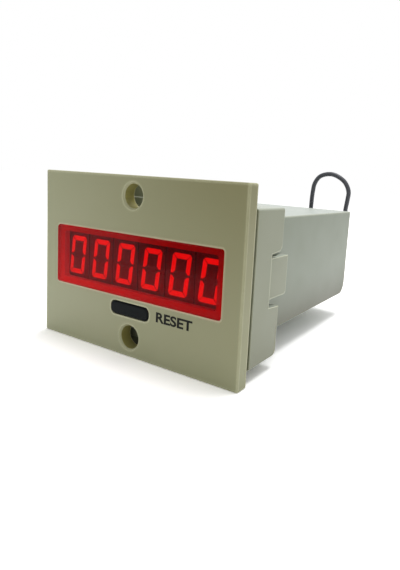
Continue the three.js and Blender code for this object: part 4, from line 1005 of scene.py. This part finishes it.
# %% Build one digit
SHELL_WIDTH, SHELL_HEIGHT, SHELL_WALL = DIGIT_PITCH - 0.3, 15, 0.8
SHELL_FRONT, FACE_BACK, SHELL_BACK = 3, 4, 11
RESIN_FIT, RESIN_OVERLAP, LIT_FIT, LIT_OVERLAP, POINT_DIAMETER = 0.08, 0.5, 0.02, 0.06, 1.4

digit_shell = plate("digit_shell", SHELL_WIDTH, SHELL_HEIGHT, 0.3, SHELL_FRONT, SHELL_BACK,
                    fillets=(0.15, 0), z=DIGIT_RISE, steps=4)
inner_width, inner_height = SHELL_WIDTH - 2 * SHELL_WALL, SHELL_HEIGHT - 2 * SHELL_WALL
hollows = [plate("hollow", inner_width, inner_height, 0.2, FACE_BACK, SHELL_BACK + 1,
                 z=DIGIT_RISE, steps=2)]
hollows += [prism("bar_slot", leaned(points), SHELL_FRONT - 1, FACE_BACK + 1)
            for points in segment_outlines()]
hollows.append(rod("point_slot", POINT_DIAMETER, SHELL_FRONT - 1, FACE_BACK + 1, *POINT_PLACE,
                   sides=24))
work(digit_shell, "DIFFERENCE", *hollows)
ease_edges(digit_shell, 0.04, segments=1)

resin_front, resin_joint = SHELL_FRONT + RESIN_FIT, FACE_BACK + RESIN_OVERLAP
resin = plate("digit_resin", inner_width - 2 * RESIN_FIT, inner_height - 2 * RESIN_FIT, 0.2,
              FACE_BACK + RESIN_FIT, SHELL_BACK, z=DIGIT_RISE, steps=2)
middle_bar = leaned(segment_outlines()[6], RESIN_FIT)
work(resin, "UNION", prism("middle_bar", middle_bar, resin_front, resin_joint),
     rod("point", POINT_DIAMETER - 2 * RESIN_FIT, resin_front, resin_joint, *POINT_PLACE, sides=24))

lit_bars, *others = [
    prism("lit_bars", leaned(points, LIT_FIT), resin_front, FACE_BACK + LIT_OVERLAP)
    for points in segment_outlines()[:6]]
for other in others:
    work(lit_bars, "UNION", other)
ease_edges(lit_bars, 0.05, segments=1)
print("one digit of", sum(len(o.data.polygons) for o in (digit_shell, resin, lit_bars)), "faces")

# %% Set the six digits in a row
# Painted shade: the digits' faces and dark resin darken towards the top right.
SHADED = {"Far_Colour": colour(22, 17, 20), "Reach": 5 * MM, "Upward": 0.0, "Across": 0.0,
          "Far_End": 5 * MM}
digit_face = plastic("digit face", (98, 84, 96), (88, 76, 88), (106, 94, 104), 0.6, dust=0.0,
                     scuff_and_highlight=0.2, fade="slow_fade", fade_values=SHADED)
dark_resin = plastic("dark resin", (84, 66, 70), (76, 60, 64), (90, 76, 80), 0.45, dust=0.0,
                     scuff_and_highlight=0.0, fade="slow_fade", fade_values=SHADED)
lit_resin = glowing("lit resin", (120, 20, 20), (255, 36, 36), 0.68, 0.5)


def copy_across(obj, name, x):
    """A copy of a piece, moved to one side."""
    made = put(name, obj.data.copy())
    made.data.transform(Matrix.Translation((x * MM, 0, 0)))
    for step in obj.modifiers:
        same = made.modifiers.new(step.name, step.type)
        same.keep_sharp = step.keep_sharp
    return made


for number, x in enumerate(DIGIT_PLACES, 1):
    for pattern, part, finish, slot, replaced in (
            (digit_shell, "face", digit_face, "digit_face", [f"digit_{number}_shell"]),
            (resin, "resin", dark_resin, "digit_resin", [f"digit_{number}_light"]),
            (lit_bars, "lit_bars", lit_resin, "digit_resin", [])):
        seat(copy_across(pattern, f"digit_{number}_{part}", x), finish, slot, *replaced)
for pattern in (digit_shell, resin, lit_bars):
    bpy.data.objects.remove(pattern)

# %% [markdown]
# ## Reset button
# The button is a black pill with a slightly crowned face that stands a little proud. Two thin
# ears behind the bezel keep it from falling out. It moves on its own body, so the whole piece
# rides there.

# %% Make the button
BUTTON_PROUD, BUTTON_BACK, EAR_THICKNESS, EARS_WIDTH = 0.3, 5.1, 0.9, 17.4

button = plate("reset_cap", BUTTON_WIDTH, BUTTON_HEIGHT, BUTTON_CORNER, -BUTTON_PROUD, BUTTON_BACK,
               fillets=(0.4, 0), z=BUTTON_DROP)
work(button, "UNION", plate("ears", EARS_WIDTH, BUTTON_HEIGHT, 0.3, BUTTON_BACK - EAR_THICKNESS,
                            BUTTON_BACK, z=BUTTON_DROP, steps=3))
ease_edges(button, 0.08)
seat(button, button_plastic, "black_plastic", "reset_button", body="reset_button")

# %% [markdown]
# ## Housing
# The housing is a deep thin-walled box, open at the front, with a rounded lower rear edge. The
# rear wall has a window for the terminals and a hole for the lead. A prism of the rounded
# outline is trimmed by the side view, then hollowed by a smaller one.

# %% Mould the housing
HOUSING_FRONT, HOUSING_BACK, HOUSING_HEEL, WALL, FLOOR_WALL = 3.7, 85.9, 5, 1.6, 2.05
RIB_PLACES, RIB_WIDTH, RIB_HEIGHT, RIB_ROOT = (-7.1, -10.3), 1.6, 1, 1.1
RIB_FRONT, RIB_BACK, SLOT_HEIGHT = 13.2, 72.7, 40
BLOCK_WIDTH, BLOCK_HEIGHT, BLOCK_PLACE = 45, 12.6, (-4.6, -1.1)
GLAND_PLACE, GLAND_HOLE = (25.5, 4), 5.8
HOUSING_CLEAR, REAR_CUT = 33, (83, 87)

housing = plate("housing_box", HOUSING_WIDTH, HOUSING_HEIGHT, 0.5, HOUSING_FRONT, HOUSING_BACK,
                z=HOUSING_RISE)
low, top = HOUSING_RISE - HOUSING_HEIGHT / 2, HOUSING_RISE + HOUSING_HEIGHT / 2
side_view = heeled(HOUSING_FRONT, HOUSING_BACK, low, top, HOUSING_HEEL)
work(housing, "INTERSECT", slab("side_view", side_view, -HOUSING_CLEAR, HOUSING_CLEAR))
inner_view = heeled(HOUSING_FRONT - 1, HOUSING_BACK - WALL, low + FLOOR_WALL, top - WALL,
                    HOUSING_HEEL - WALL)
inner_side = HOUSING_WIDTH / 2 - WALL
hollow = slab("hollow", inner_view, -inner_side, inner_side)
ribs = []
for end in (-1, 1):
    for z in RIB_PLACES:
        near, far = sorted((end * (inner_side - RIB_WIDTH), end * (inner_side + RIB_ROOT)))
        corners = [(near, z), (far, z), (far, z + RIB_HEIGHT), (near, z + RIB_HEIGHT)]
        ribs.append(prism("guide_rib", corners, RIB_FRONT, RIB_BACK))
work(hollow, "DIFFERENCE", *ribs)
slots = [plate("hook_slot", HOOK_WIDTH + 2 * FIT, SLOT_HEIGHT, 0.2, HOOK_FRONT - FIT,
               RAIL_BACK + FIT, x=x, steps=2) for x in HOOK_PLACES]
work(housing, "DIFFERENCE", hollow, *slots,
     plate("terminal_window", BLOCK_WIDTH, BLOCK_HEIGHT, 0.3, *REAR_CUT, x=BLOCK_PLACE[0],
           z=BLOCK_PLACE[1], steps=4),
     rod("lead_hole", GLAND_HOLE, *REAR_CUT, *GLAND_PLACE))
ease_edges(housing, 0.18)
seat(housing, housing_plastic, "ivory_plastic", "housing")

# %% [markdown]
# ## Mounting collar
# The collar is the clamp frame: it slides on the housing from behind and pulls the bezel onto
# the panel. A notch in each side wall holds a springy pawl, and a lug above and below takes a
# screw. The frame, its lugs and the two pawls are one moulding, so they are joined before the
# edges are rounded.

# %% Mould the collar
COLLAR_FRONT, COLLAR_BACK, COLLAR_DROP = 6.1, 20.2, -1.35
COLLAR_SIDE, COLLAR_ROOF, COLLAR_HEEL, COLLAR_CLEAR = 3.5, 2.4, 2.6, 37
LUG_WIDTH, LUGS_HEIGHT, LUG_CORNER, LUG_RISE, LUG_SETBACK = 16, 47.6, 3.8, 0.5, 0.8
COLLAR_TOP_CLEAR, BORE_FRONT, BORE_BACK, COLLAR_HOLE = 22, 5, 21.5, 3.4
NOTCH_HEIGHT, NOTCH_RISE, NOTCH_LENGTH, NOTCH_CHAMFER, NOTCH_FLARE = 14.3, 1.3, 5.8, 1.3, 0.5

bore_width = HOUSING_WIDTH + 2 * FIT
bore_height = HOUSING_HEIGHT + 2 * FIT - 2 * COLLAR_DROP
collar_height = bore_height + 2 * COLLAR_ROOF
collar = plate("clamp_collar", bore_width + 2 * COLLAR_SIDE, collar_height, 0.7, COLLAR_FRONT,
               COLLAR_BACK, fillets=(0.3, 0.3), z=COLLAR_DROP)
side_view = heeled(COLLAR_FRONT - 1, COLLAR_BACK, COLLAR_DROP - collar_height / 2,
                   COLLAR_DROP + COLLAR_TOP_CLEAR, COLLAR_HEEL)
work(collar, "INTERSECT", slab("side_view", side_view, -COLLAR_CLEAR, COLLAR_CLEAR))
work(collar, "UNION", plate("lugs", LUG_WIDTH, LUGS_HEIGHT, LUG_CORNER, COLLAR_FRONT + LUG_SETBACK,
                            COLLAR_BACK - 0.3, z=COLLAR_DROP + LUG_RISE))
notch_low = COLLAR_DROP + NOTCH_RISE - NOTCH_HEIGHT / 2
notch_high = notch_low + NOTCH_HEIGHT
notch_root, notch_end = COLLAR_BACK - NOTCH_LENGTH, COLLAR_BACK + 1
chamfer_start = COLLAR_BACK - NOTCH_CHAMFER
flare = NOTCH_FLARE / NOTCH_LENGTH
chamfer_low = notch_high + (chamfer_start - notch_root) * flare
notch_view = [(notch_root, notch_low), (notch_end, notch_low - (notch_end - notch_root) * flare),
              (notch_end, chamfer_low + notch_end - chamfer_start), (chamfer_start, chamfer_low),
              (notch_root, notch_high)]
inside, outside = bore_width / 2 - 1, bore_width / 2 + COLLAR_SIDE + 1
work(collar, "DIFFERENCE",
     plate("bore", bore_width, bore_height, 0.5, BORE_FRONT, BORE_BACK, z=COLLAR_DROP),
     *(rod("collar_hole", COLLAR_HOLE, BORE_FRONT, BORE_BACK, 0, COLLAR_DROP + z)
       for z in SCREW_HOLES),
     slab("notch", notch_view, inside, outside), slab("notch", notch_view, -outside, -inside))
print("collar frame of", len(collar.data.polygons), "faces")

# %% Add the spring pawls to the collar
PAWL_ROOT, PAWL_TIP, PAWL_HEIGHT, PAWL_HEEL = 12.9, 26.8, 11.1, 1.5
PAWL_OUTER, PAWL_INNER, PAD_INNER, PAD_LENGTH, PAD_SLOPE = 34.0, 32.5, 31.8, 2.4, 2.4
PAWL_CLEAR = (31, 35)

pawl_low = COLLAR_DROP + NOTCH_RISE - PAWL_HEIGHT / 2
pad_start = PAWL_TIP - PAD_LENGTH
for end in (-1, 1):
    top_view = [(PAWL_OUTER, PAWL_ROOT), (PAWL_OUTER, PAWL_TIP - 0.3), (PAWL_OUTER - 0.3, PAWL_TIP),
                (PAD_INNER, PAWL_TIP), (PAD_INNER, pad_start),
                (PAWL_INNER, pad_start - PAD_SLOPE), (PAWL_INNER, PAWL_ROOT)]
    pawl = tier("pawl", [(end * x, y) for x, y in top_view], pawl_low, pawl_low + PAWL_HEIGHT)
    pawl_side = heeled(PAWL_ROOT - 1, PAWL_TIP, pawl_low, pawl_low + PAWL_HEIGHT, PAWL_HEEL)
    work(pawl, "INTERSECT", slab("pawl_side", pawl_side, *sorted(end * x for x in PAWL_CLEAR)))
    work(collar, "UNION", pawl)
ease_edges(collar, 0.28, segments=3)
seat(collar, collar_plastic, "ivory_plastic", "mounting_collar", body="mounting_collar")

# %% [markdown]
# ## Printed word
# The word beside the button is printed in dark ink, as ON and OFF are on a switch, and so are the
# numbers of the terminals at the rear. A text object gives clean letters, and it is turned into a
# very thin mesh that lies on the plastic.

# %% Print the word beside the button
LETTER_DEPTH, INK_GROWTH = 0.004, 5
WORD_WIDTH, WORD_HEIGHT, WORD_LEFT, WORD_BOTTOM = 12.05, 2.8, 9.7, -13.0

ink = plastic("printing ink", (22, 23, 21), (27, 29, 26), (40, 42, 40), 0.6, dust=0.0, scuff_and_highlight=0.0)
ink.node_tree.nodes["Principled BSDF"].inputs["Specular IOR Level"].default_value = 0.1


def printed(name, words, width, height, left, bottom, depth, turned_to=1, weight=0.008):
    """Words as a thin mesh of ink, fitted to a width and a height."""
    font = bpy.data.curves.new(name, "FONT")
    font.body = words
    font.size = 1.0
    font.extrude = LETTER_DEPTH
    font.offset = weight
    text = put(name, font)
    settled = bpy.data.meshes.new_from_object(
        text.evaluated_get(bpy.context.evaluated_depsgraph_get()))
    bpy.data.objects.remove(text)
    xs, ys = [v.co.x for v in settled.vertices], [v.co.y for v in settled.vertices]
    least_x, least_y = min(xs), min(ys)
    grow_x, grow_y = width / (max(xs) - least_x), height / (max(ys) - least_y)
    for vertex in settled.vertices:
        across = (vertex.co.x - least_x) * grow_x
        up = (vertex.co.y - least_y) * grow_y
        out = vertex.co.z * INK_GROWTH
        vertex.co = at(left + turned_to * across, depth - turned_to * out, bottom + up)
    return put(name, settled)


reset_word = printed("reset_word", "RESET", WORD_WIDTH, WORD_HEIGHT, WORD_LEFT, WORD_BOTTOM, 0.0,
                     weight=0.031)
seat(reset_word, ink, "black_plastic")

# %% Print the numbers of the terminals
NUMBER_HEIGHT, NUMBER_RISE, NARROW, WIDE = 2.3, 6.7, 0.7, 1.5


def drawn_box(name):
    """The low and high corners of a loaded solid, in millimetres of the drawing."""
    return [(corner - at(0, 0, 0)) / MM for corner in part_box(name)]


for number in range(1, 7):
    low, high = drawn_box(f"terminal_screw_{number}")
    wide = NARROW if number == 1 else WIDE
    mark = printed(f"terminal_number_{number}", str(number), wide, NUMBER_HEIGHT,
                   (low.x + high.x + wide) / 2, NUMBER_RISE, HOUSING_BACK, turned_to=-1)
    seat(mark, ink, "black_plastic")

# %% [markdown]
# ## Gland and the lead's end
# The gland is a flexible nose that keeps the lead from kinking, so its cone is ringed by grooves.
# At the other end the jacket stops under a shrunk sleeve, and two insulated cores come out with
# tinned tips that go under the terminal screws.

# %% Turn the gland
RINGS, RING_PITCH, NOSE_START, NOSE_TAPER, GROOVE = 5, 0.78, 87.1, 0.27, 0.4

gland_profile = [(0.5, 83.02), (4, 83.02), (4, 84.2), (2.82, 84.2), (2.82, 85.98), (3.8, 85.98),
                 (4, 86.15), (4, 86.9), (3.8, 87.1), (2.8, 87.1)]
for ring in range(RINGS):
    y = NOSE_START + GROOVE + RING_PITCH * ring
    wide = 2.8 - (y - NOSE_START) * NOSE_TAPER
    gland_profile += [(wide - GROOVE, y - 0.3), (wide - GROOVE, y), (wide, y + 0.1),
                      (wide, y + 0.38)]
gland_profile += [(1.45, 91.75), (1.02, 91.75), (1.02, 91.42)]
gland = turned("gland_nose", gland_profile, *GLAND_PLACE)
smooth(gland, angle=40)
seat(gland, black_plastic, "black_plastic", "lead_gland")

# %% Finish the lead's end
ROOM_RADIUS, CORE_RADIUS, TIP_RADIUS = 1.02, 0.5, 0.34
CORE_START, CORE_SPACING, CORE_SPLAY = 4.3, 0.6, 0.08

tail = lead_line[-1]


def round_ring(x, y, z, radius):
    """A ring of points round a line that runs to the right."""
    return [(x, u, v) for u, v in circle(radius, y, z, 24)]


sleeve_steps = [(-1.2, ROOM_RADIUS), (-1.2, 1.22), (-0.9, 1.3), (4.9, 1.3), (5.3, 1.1)]
sleeve = skin("shrunk_sleeve", [round_ring(tail.x + x, tail.y, tail.z, radius)
                                for x, radius in sleeve_steps])
work(sleeve, "DIFFERENCE", skin("lead_room", [round_ring(tail.x + x, tail.y, tail.z, ROOM_RADIUS)
                                              for x in (-2, 0.1)]))
smooth(sleeve, angle=40)
seat(sleeve, black_plastic, "black_plastic", "lead_end")
red_core = plastic("red core", (168, 34, 30), (150, 28, 26), (190, 80, 74), 0.35)
for side, name, finish in ((-1, "red_core", red_core), (1, "black_core", black_plastic)):
    places = [(tail.x + CORE_START + along,
               tail.y + side * (CORE_SPACING + CORE_SPLAY * along), tail.z)
              for along in (1.02, 4.9, 5.0, 7.9)]
    core = skin(name, [round_ring(*place, CORE_RADIUS) for place in places[:2]])
    seat(core, finish, "black_plastic")
    tip = skin(name + "_tip", [round_ring(*place, TIP_RADIUS) for place in places[2:]])
    seat(tip, tinned_metal, "tinned_metal")

# %% [markdown]
# ## Softer copies
# Moulded and bent pieces have no knife edges. The solids of the terminal block, the tie and the
# parts on the boards are copied in their places, and each copy gets its edges eased by as much as
# its material would have. Then come the small things that tell such parts apart: the legs and the
# first-leg mark of the chips, the scored aluminium tops of the capacitors, the sheets of the
# transformer's core and the tracks on the boards.

# %% Ease the edges of the inner parts
EASED = [
    (chip_resin, 0.15, ("counter_chip", "input_isolator_1", "input_isolator_2",
                        "bridge_rectifier", "voltage_regulator")),
    (black_plastic, 0.2, ("board_header", "switch_body", "coil_tie", "terminal_block")),
    (steel, 0.15, ("clock_crystal",)),
    (steel_sheets, 0.15, ("transformer_core",)),
    (copper_winding, 0.6, ("transformer_winding",)),
    (blue_sleeve, 0.4, ("reservoir_capacitor", "output_capacitor")),
    (green_sleeve, 0.4, ("backup_cell",)),
]
for finish, width, names in EASED:
    for name in names:
        source = nodes[name]
        copy = put(name + "_eased", source.data.copy())
        copy.data.transform(source.matrix_world)
        ease_edges(copy, width)
        seat(copy, finish, source.data.materials[0].name, name)

# %% Give the chips legs and a mark
LEG_PITCH, MARK_RADIUS, MARK_INSET, MARK_DEPTH = 2.54, 0.5, 1.1, 0.15
LEG_STEPS = ((0.7, 1.2, 1.5), (0.7, 0.9, 1.2), (0.25, 0.05, 0.9))
LEG_GAP, LEG_REACH = 0.02, 0.25


def boxes_of(name, boxes):
    """Several upright boxes in one object, each from its low corner to its high corner."""
    bm = bmesh.new()
    for low, high in boxes:
        corners = ((low[0], low[1]), (high[0], low[1]), (high[0], high[1]), (low[0], high[1]))
        under, over = [[bm.verts.new(at(x, y, z)) for x, y in corners] for z in (low[2], high[2])]
        bm.faces.new(under)
        bm.faces.new(over)
        for i in range(4):
            after = (i + 1) % 4
            bm.faces.new((under[i], under[after], over[after], over[i]))
    return mesh_object(name, bm)


for name, count in (("counter_chip", 9), ("input_isolator_1", 2), ("input_isolator_2", 2)):
    low, high = drawn_box(name)
    mark = circle(MARK_RADIUS, low.x + MARK_INSET, low.y + MARK_INSET, 24)
    work(bpy.data.objects[name + "_eased"], "DIFFERENCE",
         tier("first_leg_mark", mark, high.z - MARK_DEPTH, high.z + 1))
    legs = []
    for number in range(count):
        x = (low.x + high.x) / 2 + (number - (count - 1) / 2) * LEG_PITCH
        for edge, sense in ((low.y, -1), (high.y, 1)):
            near, far = sorted((edge + sense * LEG_GAP, edge + sense * LEG_REACH))
            legs += [((x - half, near, low.z + bottom), (x + half, far, low.z + top))
                     for half, bottom, top in LEG_STEPS]
    seat(boxes_of(name + "_legs", legs), tinned_metal, "tinned_metal")

# %% Score the tops of the capacitors
RECESS_DEPTH, RECESS_RIM, LID_FIT, LID_BED, LID_DROP = 0.4, 0.8, 0.06, 0.04, 0.1
SCORE_RIM, SCORE_HALF, SCORE_DEPTH = 1.5, 0.12, 0.1

for name in ("reservoir_capacitor", "output_capacitor"):
    low, high = drawn_box(name)
    x, y, radius = (low.x + high.x) / 2, (low.y + high.y) / 2, (high.x - low.x) / 2
    work(bpy.data.objects[name + "_eased"], "DIFFERENCE",
         tier("top_recess", circle(radius - RECESS_RIM, x, y), high.z - RECESS_DEPTH, high.z + 1))
    lid = tier(name + "_top", circle(radius - RECESS_RIM - LID_FIT, x, y),
               high.z - RECESS_DEPTH + LID_BED, high.z - LID_DROP)
    reach, score_low = radius - SCORE_RIM, high.z - LID_DROP - SCORE_DEPTH
    work(lid, "DIFFERENCE", *(
        boxes_of("score", [((x - wide, y - deep, score_low), (x + wide, y + deep, high.z + 1))])
        for wide, deep in ((reach, SCORE_HALF), (SCORE_HALF, reach))))
    ease_edges(lid, 0.03, segments=1)
    seat(lid, tinned_metal, "tinned_metal")

# %% Draw the sheets of the core and the tracks of the boards
core_tree = steel_sheets.node_tree
sheets = node(core_tree, "TexWave", [("Vector", on_piece(core_tree)), ("Scale", 628.0),
                                     ("Distortion", 0.3)], bands_direction="Y")
core_tree.links.new(bumped(core_tree, sheets.outputs["Fac"], 0.8, 0.06),
                    core_tree.nodes["Principled BSDF"].inputs["Normal"])
board_tree = board_green.node_tree
tracks = node(board_tree, "TexBrick", [
    ("Vector", on_piece(board_tree)), ("Scale", 110.0), ("Mortar Size", 0.012),
    ("Brick Width", 4.5), ("Row Height", 0.13)])
board_colour = board_tree.nodes["Principled BSDF"].inputs["Base Color"]
bare_board = board_colour.links[0].from_socket
board_tree.links.new(
    blended(board_tree, tracks.outputs["Fac"], bare_board, colour(42, 108, 62)), board_colour)
print("sheets and tracks drawn")

# %% [markdown]
# ## Dressing the solids that stay
# The boards, the stem of the switch, the screws and their plates already have their right
# shapes. They keep their solids and only get a finish.

# %% Give each carried solid its finish
CARRIED = [
    (board_green, ("display_board", "main_board")),
    (white_plastic, ("switch_stem",)),
    (steel, [f"terminal_screw_{number}" for number in range(1, 7)]),
    (tinned_metal, [f"clamp_plate_{number}" for number in range(1, 7)]),
]
for finish, names in CARRIED:
    for name in names:
        nodes[name].data.materials.clear()
        nodes[name].data.materials.append(finish)
print("finished", sum(len(names) for _, names in CARRIED), "carried solids")
